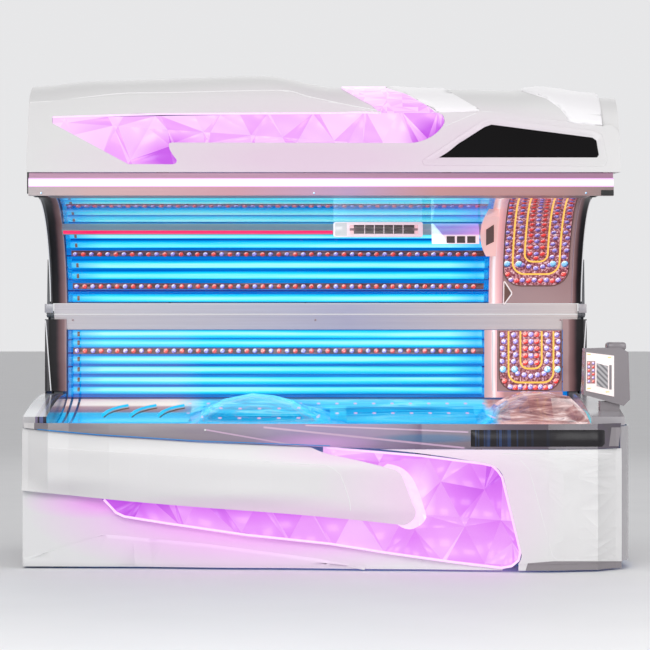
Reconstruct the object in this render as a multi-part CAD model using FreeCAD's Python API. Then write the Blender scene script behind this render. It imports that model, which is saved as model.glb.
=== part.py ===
import FreeCAD, Part
import math
import os

# Clamshell tanning bed, canopy raised.  Millimetres, X along the bed (feet at -X, head at +X),
# -Y is the side the user gets in from, +Z up, floor at Z = 0.

os.makedirs("parts", exist_ok=True)
V = FreeCAD.Vector

# ---------------------------------------------------------------- driving dimensions
# footprint
front_y = -650.0            # foremost line of the cabinet; depths are measured back from it
base_depth = 1300.0
base_left_x = -1240.0
base_right_x = 1186.0
floor_gap = 8.0             # panels stay this far off the floor
sheet = 5.0                 # wall of the moulded covers
skin_step = 90.0            # longest straight stretch of a curved wall

# the round tunnel that both halves share
tunnel_depth = 496.0
tunnel_z = 1021.0
tunnel_r = 505.0            # bare radius, at the inner face of the clear sheets
tunnel_left_x = -1143.0
tunnel_right_x = 1069.0
clear_sheet = 4.0
lamp_behind = 25.0          # lamp axes lie this far outside the clear sheet
lamp_r = 19.0               # T12 tube
lamp_cap_r = 19.6
lamp_cap_len = 14.0
glass = 1.0                 # wall of a lamp tube
lamp_pitch_deg = 5.6
first_lamp_deg = 9.4
slot_total = 17             # lamp and LED places round the canopy
ring_start = 7.0            # the tunnel lining starts and ends at these angles
ring_end = 101.0
reflector_behind = 26.0     # and the mirror this far outside the lamp axes
reflector_wall = 2.0

# hinge line and what the canopy does about it
hinge_in = 1.0              # the hinge line lies this far inside the tunnel's rearmost line
hinge_rise = 14.0           # and this far above its axis
hinge_depth = tunnel_depth + tunnel_r - hinge_in
hinge_z = tunnel_z + hinge_rise
hinge_pin_r = 6.0
hinge_bore_gap = 0.05
knuckle_r = 14.0
knuckle_len = 14.0
knuckle_gap = 2.0
arm_left_x = -1230.0        # outer face of the left arm plate
arm_right_x = 1126.0        # outer face of the right arm plate

# gas springs: pull type, from a post bracket up to a short lever on each arm
lever_back = 80.0
lever_drop = 30.0
spring_foot_back = 120.0
spring_foot_drop = 555.0
spring_body_r = 12.0
spring_body_len = 300.0
spring_rod_r = 5.0
spring_pin_r = 6.0
spring_eye_gap = 8.0        # play at the opened upper pivot
spring_eye_wall = 5.0
spring_eye_len = 12.0
running_gap = 0.05

# canopy
canopy_left_x = arm_left_x + knuckle_len
canopy_right_x = arm_right_x - knuckle_len
canopy_end_x = 1180.0       # outer face of the bulged right-hand end
canopy_front_depth = 110.0
rim_z = tunnel_z + tunnel_r - 17.0
skin_over_rim = 95.0
canopy_skin_z = rim_z + skin_over_rim       # lower edge of the white front
rim_h = 35.0
rim_depth = 98.0
rim_thick = 40.0
flange_gap = 7.6            # between the rim's inner flange and the tunnel lining
bar_h = 36.0
bar_thick = 20.0
bar_recess = 6.0
canopy_foot_z = 1085.0      # lower rear edge of the canopy shell
rail_h = 43.0
rail_thick = 30.0
rail_gap = 2.0              # half the gap between the two hinge rails

# bench
bench_z = 592.0             # top of the front trim
trim_depth = 46.0
acrylic_sheet = 6.0
bench_lamp_drop = 42.0
bench_lamp_count = 14
bench_lamp_first = 202.0    # depth of the first bench lamp
bench_lamp_last = 53.0      # the last one lies this far before the back wall
bench_start = 180.0         # depth where the lying surface starts, at its foremost
knee_hump = 128.0
pillow_hump = 140.0
end_cap_rise = 96.0

# rear box behind the hinge
rear_top_z = 1013.0
wall_front = hinge_depth - 4.0
left_top = 560.0            # top edges of the side panels
right_top = 578.0
lower_rail_h = 65.0
wall_lamp_z = [946.2, 906.4, 833.0, 787.0, 741.0, 697.0]
wall_dome_z = 873.6
wall_lamp_depth = hinge_depth + 24.0
wall_foot_z = 668.0         # rear edge of the lying surface

# lamp spans
lamp_left_x = -1118.0
lamp_right_x = 684.0
holder_len = 16.0
dome_pitch = 35.5
dome_r = 8.5

# frame
frame_tube = 40.0
frame_wall = 2.5
foot_r = 30.0
foot_pad_h = 12.0
foot_stud_r = 8.0
frame_z = 48.0              # underside of the floor rails

# air
nozzle_left_x = 24.0
nozzle_right_x = 406.0
nozzle_drop = 3.5           # the body nozzle's middle lies this far below the bar's
nozzle_h = 63.0
nozzle_depth = 64.0
vane_count = 5
vane_pitch = 41.0
vane_pin_r = 1.5
vane_thick = 2.4
bar_angle = 51.0
breeze_h = 34.0
breeze_thick = 34.0
fan_r = 150.0
fan_hub_r = 45.0
fan_blades = 7
fan_x = -300.0

# control pod
pod_left_x = 1050.0
pod_right_x = 1240.0
pod_depth = 300.0
pod_thick = 110.0
pod_low_z = 662.0
pod_high_z = 896.0

lamp_circle_r = tunnel_r + lamp_behind
reflector_r = lamp_circle_r + reflector_behind


# ---------------------------------------------------------------- helpers
def at(depth):
    """Y of a point that lies this far behind the foremost line."""
    return front_y + depth


def block(x0, x1, d0, d1, z0, z1):
    """Box between two X, two depths and two heights."""
    return Part.makeBox(x1 - x0, d1 - d0, z1 - z0, V(x0, at(d0), z0))


def tube(x0, x1, d0, d1, z0, z1):
    """Square steel tube, open at both ends of its longest side."""
    spans = (x1 - x0, d1 - d0, z1 - z0)
    walls = [frame_wall] * 3
    walls[spans.index(max(spans))] = -1.0
    room = block(x0 + walls[0], x1 - walls[0], d0 + walls[1], d1 - walls[1], z0 + walls[2], z1 - walls[2])
    return block(x0, x1, d0, d1, z0, z1).cut(room)


def rod_x(x0, x1, depth, z, r):
    """Round bar along X."""
    return Part.makeCylinder(r, x1 - x0, V(x0, at(depth), z), V(1, 0, 0))


def rod_y(x, d0, d1, z, r):
    return Part.makeCylinder(r, d1 - d0, V(x, at(d0), z), V(0, 1, 0))


def rod_z(x, depth, z0, z1, r):
    return Part.makeCylinder(r, z1 - z0, V(x, at(depth), z0), V(0, 0, 1))


def path(points):
    """One edge through the points: a line for two, a smooth curve for more."""
    if len(points) == 2:
        return Part.LineSegment(points[0], points[1]).toShape()
    curve = Part.BSplineCurve()
    curve.interpolate(points)
    return curve.toShape()


def side_face(runs, x=0.0):
    """Flat face at X = x from runs of (depth, z); each run is a line or a smooth curve."""
    edges = [path([V(x, at(d), z) for d, z in run]) for run in runs]
    return Part.Face(Part.Wire(edges))


def front_face(runs, depth=0.0):
    """Flat face at one depth from runs of (x, z)."""
    edges = [path([V(x, at(depth), z) for x, z in run]) for run in runs]
    return Part.Face(Part.Wire(edges))


def closed(points):
    """Straight runs round a list of corners."""
    return [[points[i], points[(i + 1) % len(points)]] for i in range(len(points))]


def along_x(face, length):
    return face.extrude(V(length, 0, 0))


def along_y(face, length):
    return face.extrude(V(0, length, 0))


def ring(r0, r1, a0, a1, x0, x1):
    """Part of a round shell about the tunnel's axis; 0 deg points back, 90 deg up."""
    mid = math.radians((a0 + a1) / 2)

    def spot(r, a):
        return V(x0, at(tunnel_depth) + r * math.cos(a), tunnel_z + r * math.sin(a))

    s, e = math.radians(a0), math.radians(a1)
    edges = [
        Part.Arc(spot(r1, s), spot(r1, mid), spot(r1, e)).toShape(),
        Part.LineSegment(spot(r1, e), spot(r0, e)).toShape(),
        Part.Arc(spot(r0, e), spot(r0, mid), spot(r0, s)).toShape(),
        Part.LineSegment(spot(r0, s), spot(r1, s)).toShape(),
    ]
    return along_x(Part.Face(Part.Wire(edges)), x1 - x0)


def on_ring(r, angle_deg):
    """Depth and height of a point on a circle about the tunnel's axis."""
    a = math.radians(angle_deg)
    return tunnel_depth + r * math.cos(a), tunnel_z + r * math.sin(a)


def section(x, outer, inner):
    """Thin closed section at X = x between two smooth lines of (depth, z)."""
    out_pts = [V(x, at(d), z) for d, z in outer]
    in_pts = [V(x, at(d), z) for d, z in inner]
    return Part.Wire([
        path(out_pts),
        Part.LineSegment(out_pts[-1], in_pts[-1]).toShape(),
        path(in_pts[::-1]),
        Part.LineSegment(in_pts[0], out_pts[0]).toShape(),
    ])


def filled_in(stations):
    """The stations with more between them, none further apart than skin_step."""
    xs = [stations[0]]
    for x0, x1 in zip(stations, stations[1:]):
        n = max(1, math.ceil((x1 - x0) / skin_step))
        xs += [x0 + (x1 - x0) * (i + 1) / n for i in range(n)]
    return xs


def skin(stations, outer_at, inner_at):
    """Curved wall through its sections, straight from one to the next."""
    wires = [section(x, outer_at(x), inner_at(x)) for x in filled_in(stations)]
    return Part.makeLoft(wires, True, True)


def blend(x, table):
    """Smooth value at x between (x, value) pairs."""
    if x <= table[0][0]:
        return table[0][1]
    for (xa, va), (xb, vb) in zip(table, table[1:]):
        if x <= xb:
            t = (x - xa) / (xb - xa)
            t = t * t * (3 - 2 * t)
            return va + (vb - va) * t
    return table[-1][1]


def straight(x, table):
    """Value at x on straight runs between (x, value) pairs."""
    if x <= table[0][0]:
        return table[0][1]
    for (xa, va), (xb, vb) in zip(table, table[1:]):
        if x <= xb:
            return va + (vb - va) * (x - xa) / (xb - xa)
    return table[-1][1]


def group(shapes):
    return Part.makeCompound(shapes)


def fuse(shapes):
    whole = shapes[0].fuse(shapes[1:])
    return whole.removeSplitter()


def solids_of(shape):
    return [s for s in shape.Solids if s.Volume > 1.0]


def lamp(x0, x1, depth, z):
    """Glass tube with a metal cap at each end, sealed round its gas."""
    whole = fuse([
        rod_x(x0, x0 + lamp_cap_len, depth, z, lamp_cap_r),
        rod_x(x0 + lamp_cap_len, x1 - lamp_cap_len, depth, z, lamp_r),
        rod_x(x1 - lamp_cap_len, x1, depth, z, lamp_cap_r),
    ])
    return whole.cut(rod_x(x0 + glass, x1 - glass, depth, z, lamp_r - glass))


parts = {}

# ---------------------------------------------------------------- cabinet front
cabinet_plan = [(base_left_x, 180.0), (-1130.0, 122.0), (-800.0, 84.0), (-300.0, 52.0), (300.0, 26.0),
                (880.0, 0.0), (1080.0, 40.0), (base_right_x, 132.0)]
plinth_plan = [(base_left_x, 186.0), (-860.0, 176.0), (-300.0, 122.0), (300.0, 70.0), (700.0, 26.0)]
jewel_plan = [(-916.0, 152.0), (-300.0, 92.0), (300.0, 46.0), (700.0, 22.0)]
jewel_thick = 8.0
proud_by = 6.0                      # how far the swoosh panel stands out
lip_roll = 34.0                     # how far its lower lip rolls in, and over what height
roll_h = 60.0
crease = [(base_left_x, 522.0), (-1117.0, 496.0), (-870.0, 480.0), (-460.0, 453.0), (-50.0, 429.0),
          (360.0, 405.0)]
lip_run = [(base_left_x, 319.0), (-1076.0, 303.0), (-920.0, 289.0), (-625.0, 264.0), (-294.0, 240.0),
           (8.0, 217.0), (281.0, 190.0)]
tip_run = [(281.0, 190.0), (330.0, 200.0), (350.0, 231.0), (342.0, 264.0)]
tip_back = [(342.0, 264.0), (297.0, 383.0)]
back_run = [(297.0, 383.0), (278.0, 404.0), (238.0, 418.0), (91.0, 453.0), (-32.0, 482.0), (-70.0, 499.0)]
jewel_low = [(-916.0, 287.0), (-887.0, 256.0), (-855.0, 227.0), (-797.0, 206.0), (-625.0, 186.0),
             (-395.0, 153.0), (-214.0, 128.0), (8.0, 108.0), (165.0, 83.0), (330.0, 66.0), (460.0, 46.0),
             (625.0, 24.0), (700.0, 16.0)]
jewel_corner = [(700.0, 16.0), (742.0, 30.0), (768.0, 60.0), (766.0, 90.0)]
jewel_right = [(766.0, 90.0), (702.0, 362.0)]
jewel_shoulder = [(702.0, 362.0), (682.0, 405.0), (634.0, 432.0)]
jewel_top = [(634.0, 432.0), (374.0, 472.0), (211.0, 489.0), (-20.0, 499.0)]
kick_h = 34.0
skin_stations = [base_left_x, -1215.0, -1130.0, -960.0, -800.0, -560.0, -300.0, 0.0, 300.0, 600.0, 880.0,
                 1080.0, 1160.0, base_right_x]


def cabinet_face(x, z):
    """Depth of the cabinet's outer face."""
    lean = max(0.0, z - 430.0) * 0.16
    tuck = max(0.0, 120.0 - z) * 0.05
    return blend(x, cabinet_plan) + lean + tuck


def jewel_face(x, z):
    return blend(x, jewel_plan) + max(0.0, z - 430.0) * 0.16


def swoosh_face(x, z):
    """Depth of the proud panel: it leans back above its crease and rolls in at its lip."""
    fold = straight(x, crease)
    lip = straight(x, lip_run)
    lean = max(0.0, z - fold) * 0.34
    proud = blend(x, cabinet_plan) - proud_by
    roll_depth = min(lip_roll, jewel_face(x, lip) - proud - sheet - 2.0)
    roll = roll_depth * min(1.0, max(0.0, 1.0 - (z - lip) / roll_h)) ** 2
    return proud + lean + roll


def plinth_face(x, z):
    return blend(x, plinth_plan) + 4.0


def wall_of(face_depth, stations, heights, back=sheet):
    """Curved wall that follows a face, with its own thickness behind it."""
    return skin(stations,
                lambda x: [(face_depth(x, z), z) for z in heights],
                lambda x: [(face_depth(x, z) + back, z) for z in heights])


def cut_out(wall, runs):
    """The piece of a wall inside an outline seen from the front."""
    tool = along_y(front_face(runs, -200.0), 900.0)
    return wall.common(tool)


swoosh_wall = wall_of(swoosh_face, skin_stations, [160.0, 200.0, 240.0, 300.0, 360.0, 420.0, 480.0, 530.0, 590.0])
swoosh_runs = [
    lip_run,
    tip_run,
    tip_back,
    back_run,
    [(-70.0, 499.0), (-520.0, 517.0)],
    [(-520.0, 517.0), (-935.0, 543.0)],
    [(-935.0, 543.0), (base_left_x, 569.0)],
    [(base_left_x, 569.0), (base_left_x, 319.0)],
]
parts["front_swoosh_panel"] = cut_out(swoosh_wall, swoosh_runs)

jewel_wall = wall_of(jewel_face, [-930.0, -700.0, -300.0, 0.0, 300.0, 500.0, 790.0],
                     [10.0, 120.0, 240.0, 360.0, 430.0, 510.0], jewel_thick)
jewel_runs = [jewel_low, jewel_corner, jewel_right, jewel_shoulder, jewel_top,
              [(-20.0, 499.0), (-20.0, 300.0)], [(-20.0, 300.0), (-916.0, 300.0)],
              [(-916.0, 300.0), (-916.0, 287.0)]]
parts["lower_jewel_panel"] = cut_out(jewel_wall, jewel_runs)

right_wall = wall_of(cabinet_face, [200.0, 500.0, 720.0, 880.0, 1000.0, 1080.0, 1160.0, base_right_x],
                     [kick_h, 120.0, 240.0, 360.0, 430.0, 500.0])
right_runs = [
    [(211.0, 491.0), (374.0, 474.5), (634.0, 434.5)],
    [(634.0, 434.5), (684.5, 407.5), (704.5, 362.5)],
    [(704.5, 362.5), (768.5, 90.0)],
    [(768.5, 90.0), (771.0, 60.0), (758.0, kick_h)],
    [(758.0, kick_h), (base_right_x, kick_h)],
    [(base_right_x, kick_h), (base_right_x, 490.0)],
    [(base_right_x, 490.0), (211.0, 491.0)],
]
kick_wall = wall_of(lambda x, z: cabinet_face(x, z) + 3.0, [760.0, 880.0, 1000.0, 1080.0, 1160.0, base_right_x],
                    [floor_gap, 20.0, kick_h + 1.0])
parts["front_right_panel"] = cut_out(right_wall, right_runs).fuse(kick_wall)

plinth_wall = wall_of(plinth_face, [base_left_x, -1100.0, -860.0, -560.0, -300.0, 0.0, 300.0, 700.0, 740.0],
                      [floor_gap, 100.0, 200.0, 330.0])
plinth_runs = [
    [(base_left_x, floor_gap), (698.0, floor_gap)],
    [(698.0, floor_gap), (698.0, 13.0)],
    [(698.0, 13.0), (625.0, 20.0), (460.0, 42.0), (330.0, 62.0), (165.0, 79.0), (8.0, 104.0),
     (-214.0, 124.0), (-395.0, 149.0), (-625.0, 182.0), (-797.0, 202.0), (-860.0, 222.0), (-893.0, 254.0),
     (-922.0, 286.0)],
    [(-922.0, 286.0), (-1076.0, 300.0)],
    [(-1076.0, 300.0), (base_left_x, 316.0)],
    [(base_left_x, 316.0), (base_left_x, floor_gap)],
]
parts["front_plinth_panel"] = cut_out(plinth_wall, plinth_runs)

# ---------------------------------------------------------------- cabinet ends
rear_in = base_depth - 11.0         # inner face of the rear cover
left_front = 197.0
left_runs = closed([(left_front, floor_gap), (rear_in - 3.0, floor_gap), (rear_in - 3.0, left_top),
                    (left_front, left_top)])
parts["left_side_panel"] = along_x(side_face(left_runs, base_left_x), sheet)

right_plan = [(149.0, base_right_x), (230.0, base_right_x + 36.0), (420.0, base_right_x + 48.0),
              (620.0, base_right_x + 40.0), (900.0, base_right_x + 10.0), (rear_in - 3.0, base_right_x - 36.0)]


def top_face(runs, z):
    """Flat face at one height from runs of (x, depth)."""
    edges = [path([V(x, at(d), z) for x, d in run]) for run in runs]
    return Part.Face(Part.Wire(edges))


right_outer = [(x, d) for d, x in right_plan]
right_inner = [(x - sheet, d) for d, x in right_plan]
parts["right_side_panel"] = top_face(
    [right_outer, [right_outer[-1], right_inner[-1]], right_inner[::-1], [right_inner[0], right_outer[0]]],
    kick_h).extrude(V(0, 0, right_top - kick_h))

# ---------------------------------------------------------------- bench trim and end caps
trim_x0 = base_left_x + 8.0
trim_x1 = base_right_x - 3.0
trim_wall_t = 8.0


def trim_face(x, z):
    return blend(x, cabinet_plan) * 0.82 + trim_depth * 0.5 + (bench_z - z) * -0.12


trim_runs = closed([
    (trim_x0, bench_z), (trim_x1, bench_z), (trim_x1 - 12.0, 492.5), (250.0, 492.5), (8.0, 499.5),
    (-520.0, 519.5), (-935.0, 545.5), (trim_x0, 571.5)])
trim_stations = [x for x in skin_stations if trim_x0 < x < trim_x1]
trim_front = cut_out(wall_of(trim_face, skin_stations, [480.0, 520.0, 560.0, bench_z], trim_wall_t), trim_runs)
sheet_play = 5.0                    # between the front edge of the sheet and the trim
seat_play = 0.3                     # between the sheet and the ledge, for a soft strip
ledge_z = bench_z - acrylic_sheet - 1.0 - seat_play
ledge_t = 6.0
ledge_w = 26.0
ledge_x = sorted([trim_x0, tunnel_left_x, tunnel_left_x + 2.0, tunnel_right_x - 2.0, tunnel_right_x, trim_x1]
                 + trim_stations)
ledge_front = [(x, trim_face(x, ledge_z) + trim_wall_t - 1.0) for x in ledge_x]
ledge_back = [(x, (d + ledge_w) if tunnel_left_x < x < tunnel_right_x else max(d + 6.0, 196.0))
              for x, d in ledge_front]
ledge_runs = [[a, b] for a, b in zip(ledge_front, ledge_front[1:])]
ledge_runs.append([ledge_front[-1], ledge_back[-1]])
ledge_runs += [[b, a] for a, b in reversed(list(zip(ledge_back, ledge_back[1:])))]
ledge_runs.append([ledge_back[0], ledge_front[0]])
ledge = top_face(ledge_runs, ledge_z - ledge_t).extrude(V(0, 0, ledge_t))
parts["bench_front_trim"] = trim_front.fuse(ledge)


def bench_line(depth):
    """Height of the lying surface without its humps."""
    share = (depth - bench_start) / (wall_front - bench_start)
    return straight(share, [(0.0, bench_z - 6.0), (0.15, bench_z - 20.0), (0.33, bench_z - 26.0),
                            (0.52, bench_z - 14.0), (0.76, bench_z + 18.0), (1.0, wall_foot_z)])


def hump(x):
    """How far the sheet rises for the knees and for the head."""
    knee = blend(x, [(-590.0, 0.0), (-440.0, knee_hump * 0.80), (-320.0, knee_hump), (-230.0, knee_hump * 0.93),
                     (80.0, 0.0)])
    pillow = blend(x, [(630.0, 0.0), (741.0, pillow_hump * 0.77), (820.0, pillow_hump),
                       (915.0, pillow_hump * 0.97), (1005.0, pillow_hump * 0.84),
                       (tunnel_right_x - 8.0, pillow_hump * 0.45)])
    return knee + pillow


wall_top = hinge_z - rail_gap - lower_rail_h - 2.0   # upper edge of what stands before the wall lamps
trim_left_x = 686.0                                  # left edge of the face tanners' trim
lying_share = [0.0, 0.035, 0.10, 0.20, 0.34, 0.50, 0.66, 0.82, 1.0]
lying_rise = [0.0, 0.0, 0.08, 0.50, 0.98, 1.0, 0.78, 0.25, 0.0]


def lying(x):
    """The lying surface at x: from the trim's ledge back to the foot of the wall."""
    start = trim_face(x, ledge_z) + trim_wall_t + sheet_play
    line = []
    for share, rise in zip(lying_share, lying_rise):
        depth = start + (wall_front - start) * share
        level = bench_line(depth) if share > 0.04 else bench_z - 1.0
        line.append((depth, level + hump(x) * rise))
    return line


def lying_under(x):
    return [(d, z - acrylic_sheet) for d, z in lying(x)]


bench_stations = [tunnel_left_x + 4.0, -590.0, -540.0, -490.0, -440.0, -380.0, -320.0, -230.0, -150.0, -70.0, 10.0,
                  80.0, 630.0, 670.0, 705.0, 741.0, 780.0, 820.0, 870.0, 915.0, 960.0, 1005.0, tunnel_right_x - 6.0]
wall_sheet = block(tunnel_left_x + 4.0, trim_left_x - 6.0, wall_front - clear_sheet, wall_front,
                   wall_foot_z - acrylic_sheet, wall_top - 2.0)
parts["bench_acrylic"] = skin(bench_stations, lying, lying_under).fuse(wall_sheet)

cap_back = hinge_depth - 20.0
cap_steps = 6


def cap_top(depth):
    turn = max(0.0, min(1.0, (depth - 60.0) / (hinge_depth - 100.0)))
    return bench_z + end_cap_rise * math.sin(math.radians(90.0 * turn))


def end_cap(x0, x1, d0, low):
    """Rounded cover over one end of the bench, open underneath."""

    def profile(a, b, drop, foot):
        ds = [a + (b - a) * i / cap_steps for i in range(cap_steps + 1)]
        top = [(d, cap_top(d) - drop) for d in ds]
        return [top, [top[-1], (b, foot)], [(b, foot), (a, foot)], [(a, foot), top[0]]]

    body = along_x(side_face(profile(d0, cap_back, 0.0, low), x0), x1 - x0)
    inner = side_face(profile(d0 + sheet, cap_back - sheet, sheet, low - 1.0), x0 + sheet)
    return body, along_x(inner, x1 - x0 - 2 * sheet)


left_cap, left_room = end_cap(base_left_x, tunnel_left_x - 1.0, 200.0, left_top + 2.0)
right_cap, right_room = end_cap(tunnel_right_x + 1.0, base_right_x + 20.0, 200.0, right_top + 2.0)
parts["bench_left_end_cap"] = left_cap.cut(left_room)
parts["bench_right_end_cap"] = right_cap.cut(right_room)

# ---------------------------------------------------------------- what stands beside the tunnel at the back
arm_l = arm_left_x
arm_r = arm_right_x - knuckle_len
bracket_l = arm_l + knuckle_len + knuckle_gap
bracket_r = arm_r - knuckle_gap - knuckle_len
post_l = bracket_l + knuckle_len            # outer faces of the rear posts
post_r = bracket_r
rail_left_x = post_l + 2.0
rail_right_x = post_r - 2.0

# ---------------------------------------------------------------- lamps of the lower half
bench_lamp_pitch = (wall_front - bench_lamp_last - bench_lamp_first) / (bench_lamp_count - 1)
bench_lamp_places = []
for i in range(bench_lamp_count):
    depth = bench_lamp_first + i * bench_lamp_pitch
    bench_lamp_places.append((depth, bench_line(depth) - bench_lamp_drop))
bench_lamp_right = tunnel_right_x - 22.0
wall_lamp_right = lamp_right_x - 8.0
base_lamps = [lamp(lamp_left_x, bench_lamp_right, d, z) for d, z in bench_lamp_places]
base_lamps += [lamp(lamp_left_x, wall_lamp_right, wall_lamp_depth, z) for z in wall_lamp_z]
parts["base_lamps"] = group(base_lamps)
holder_left_x = lamp_left_x - holder_len - 1.0
base_holders = [block(x, x + holder_len, d - 14.0, d + 14.0, z - 22.0, z + 16.0)
                for d, z in bench_lamp_places for x in (holder_left_x, bench_lamp_right + 1.0)]
base_holders += [block(x, x + holder_len, wall_lamp_depth - 14.0, wall_lamp_depth + 24.0, z - 14.0, z + 14.0)
                 for z in wall_lamp_z
                 for x in (holder_left_x, wall_lamp_right + 1.0)]
parts["base_lampholders"] = group(base_holders)


def under_lamps(drop):
    """Line of the bench's mirror sheet: the lamps' own line, lower."""
    depths = [bench_start + 6.0 + (wall_front - bench_start - 12.0) * i / 5 for i in range(6)]
    return lambda x: [(d, bench_line(d) - bench_lamp_drop - drop) for d in depths]


bench_pan = skin([tunnel_left_x + 6.0, tunnel_right_x - 4.0], under_lamps(26.0), under_lamps(29.0))
pan_depth = wall_lamp_depth + 26.0
wall_pan = block(tunnel_left_x, post_r - frame_tube - 2.0, pan_depth, pan_depth + reflector_wall, wall_foot_z,
                 wall_top)
parts["base_reflectors"] = group([bench_pan, wall_pan])

dome_total = int((lamp_right_x - lamp_left_x) / dome_pitch)


def dome_row(x1, depth, z):
    """Strip with its row of lens domes, facing the front."""
    pieces = [block(lamp_left_x, x1, depth - 2.0, depth + 2.0, z - 13.0, z + 13.0)]
    for n in range(dome_total):
        x = lamp_left_x + (n + 0.5) * dome_pitch
        pieces.append(rod_y(x, depth - 10.0, depth - 2.0, z, dome_r))
    return fuse(pieces)


parts["wall_led_strip"] = dome_row(lamp_right_x, wall_lamp_depth, wall_dome_z)

# lower face tanner
face_left_x = 742.0
face_right_x = 1027.0
face_foot = 698.0
parts["lower_face_panel"] = block(face_left_x, face_right_x, wall_front + 2.0, wall_front + 8.0, face_foot, wall_top)
parts["lower_face_trim"] = fuse([
    block(trim_left_x, face_left_x - 1.0, wall_front - 8.0, wall_front + 10.0, wall_foot_z + 2.0, wall_top),
    block(face_left_x - 1.0, face_right_x + 1.0, wall_front - 8.0, wall_front + 10.0, wall_foot_z + 2.0,
          face_foot - 1.0)])


def rear_end(x0, x1, side_x, low):
    """Cover over one end of the rear box: a front strip and a side wall."""
    strip = block(x0, x1, hinge_depth - 12.0, hinge_depth - 6.0, face_foot, rear_top_z)
    side = block(side_x, side_x + sheet, hinge_depth - 6.0, rear_in - 3.0, low, rear_top_z)
    return fuse([strip, side])


end_clear = 8.0                     # outside the canopy's arms
parts["rear_end_left"] = rear_end(arm_left_x - end_clear, tunnel_left_x - 1.0, arm_left_x - end_clear, left_top + 2.0)
parts["rear_end_right"] = rear_end(face_right_x + 2.0, arm_right_x + end_clear, arm_right_x + end_clear - sheet,
                                   right_top + 2.0)

# hinge rail of the base: an extruded profile with two ridges
low_rail_top = hinge_z - rail_gap
low_rail_low = low_rail_top - lower_rail_h
low_rail = block(rail_left_x, rail_right_x, hinge_depth, hinge_depth + rail_thick, low_rail_low, low_rail_top)
for z in (low_rail_top - 33.0, low_rail_top - 10.0):
    low_rail = low_rail.fuse(block(rail_left_x, rail_right_x, hinge_depth - 3.0, hinge_depth, z - 3.0, z + 3.0))
parts["base_hinge_rail"] = low_rail.removeSplitter()

# rear cover with air slots, folded over into the ledge behind the hinge
slot_w = 220.0
slot_h = 10.0
slot_rows = 7
slot_cols = 5
slot_pitch_x = 440.0
slot_pitch_z = 26.0
slot_low_z = 160.0
box_half = 110.0
gland_x = post_r - frame_tube - 16.0 - box_half
gland_z = 170.0
gland_r = 16.0
cable_r = 9.0
rear = block(arm_left_x + 2.0, arm_right_x - 2.0, rear_in, rear_in + sheet, floor_gap, rear_top_z)
slots = []
for row in range(slot_rows):
    for col in range(slot_cols):
        x = tunnel_left_x + 143.0 + col * slot_pitch_x
        z = slot_low_z + row * slot_pitch_z
        if abs(x + slot_w / 2 - gland_x) > slot_w:
            slots.append(block(x, x + slot_w, rear_in - 5.0, base_depth, z, z + slot_h))
rear = rear.cut(group(slots)).cut(rod_y(gland_x, rear_in - 5.0, base_depth, gland_z, gland_r + 1.0))
ledge_top = block(rail_left_x, rail_right_x, hinge_depth + rail_thick + 2.0, rear_in + 1.0, rear_top_z - sheet,
                  rear_top_z)
parts["rear_cover"] = fuse([rear, ledge_top])

# ---------------------------------------------------------------- steel frame
rail_x0 = base_left_x + 26.0
rail_x1 = base_right_x - 40.0
front_row = 250.0
middle_row = 700.0
rear_row = base_depth - 65.0
frame_rows = (front_row, middle_row, rear_row)
rail_top = frame_z + frame_tube
cross_x = (post_l, -420.0, 380.0, post_r - frame_tube)
bearer_z = 430.0
post_d0 = hinge_depth + 4.0
post_d1 = hinge_depth + 54.0
bars = [tube(rail_x0, rail_x1, d, d + frame_tube, frame_z, rail_top) for d in frame_rows]
for x in cross_x:
    for d0, d1 in zip(frame_rows, frame_rows[1:]):
        bars.append(tube(x, x + frame_tube, d0 + frame_tube, d1, frame_z, rail_top))
    for d in (front_row, middle_row):
        bars.append(tube(x, x + frame_tube, d, d + frame_tube, rail_top, bearer_z))
    bars.append(tube(x, x + frame_tube, front_row, hinge_depth - 40.0, bearer_z, bearer_z + 30.0))
tray_rail = 20.0
tray_rows = (420.0, 550.0)
for d in tray_rows:
    bars.append(tube(cross_x[0] + frame_tube, cross_x[1], d, d + tray_rail, rail_top - tray_rail, rail_top))
foot_depth = hinge_depth + spring_foot_back
foot_pin_z = hinge_z - spring_foot_drop
spring_l = bracket_l + knuckle_len / 2
spring_r = bracket_r + knuckle_len / 2
tab_t = 8.0
tab_h = 16.0


def rear_post(x0, tab_x, pin_x0, pin_x1):
    """Post that carries a hinge bracket, and the tab and pin for the gas spring's lower eye."""
    post = tube(x0, x0 + frame_tube, post_d0, post_d1, rail_top, low_rail_low)
    tab = block(tab_x, tab_x + tab_t, post_d1, foot_depth + tab_h, foot_pin_z - tab_h, foot_pin_z + tab_h)
    return [post, tab, rod_x(pin_x0, pin_x1, foot_depth, foot_pin_z, spring_pin_r)]


bars += rear_post(post_l, post_l, spring_l - spring_eye_len / 2 - 2.0, post_l)
bars += rear_post(post_r - frame_tube, post_r - tab_t, post_r, spring_r + spring_eye_len / 2 + 2.0)
arm_w = 30.0
arm_play = 1.0                      # between a panel and the arm behind it
for x, z, face in ((-1130.0, 200.0, plinth_face), (-700.0, 150.0, plinth_face), (-900.0, 400.0, swoosh_face),
                   (-300.0, 380.0, swoosh_face), (600.0, 455.0, cabinet_face), (1010.0, 300.0, cabinet_face),
                   (900.0, 120.0, cabinet_face)):
    reach = max(face(x + u, z + v) for u in (0.0, arm_w) for v in (0.0, 20.0)) + sheet + arm_play
    bars.append(block(x, x + arm_w, reach, front_row, z, z + 20.0))
for x in (-1130.0, -900.0, -700.0, -300.0, 600.0, 900.0, 1010.0):
    bars.append(tube(x, x + arm_w, front_row, front_row + 20.0, rail_top, bearer_z + 60.0))
parts["base_frame"] = group(bars)

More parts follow.
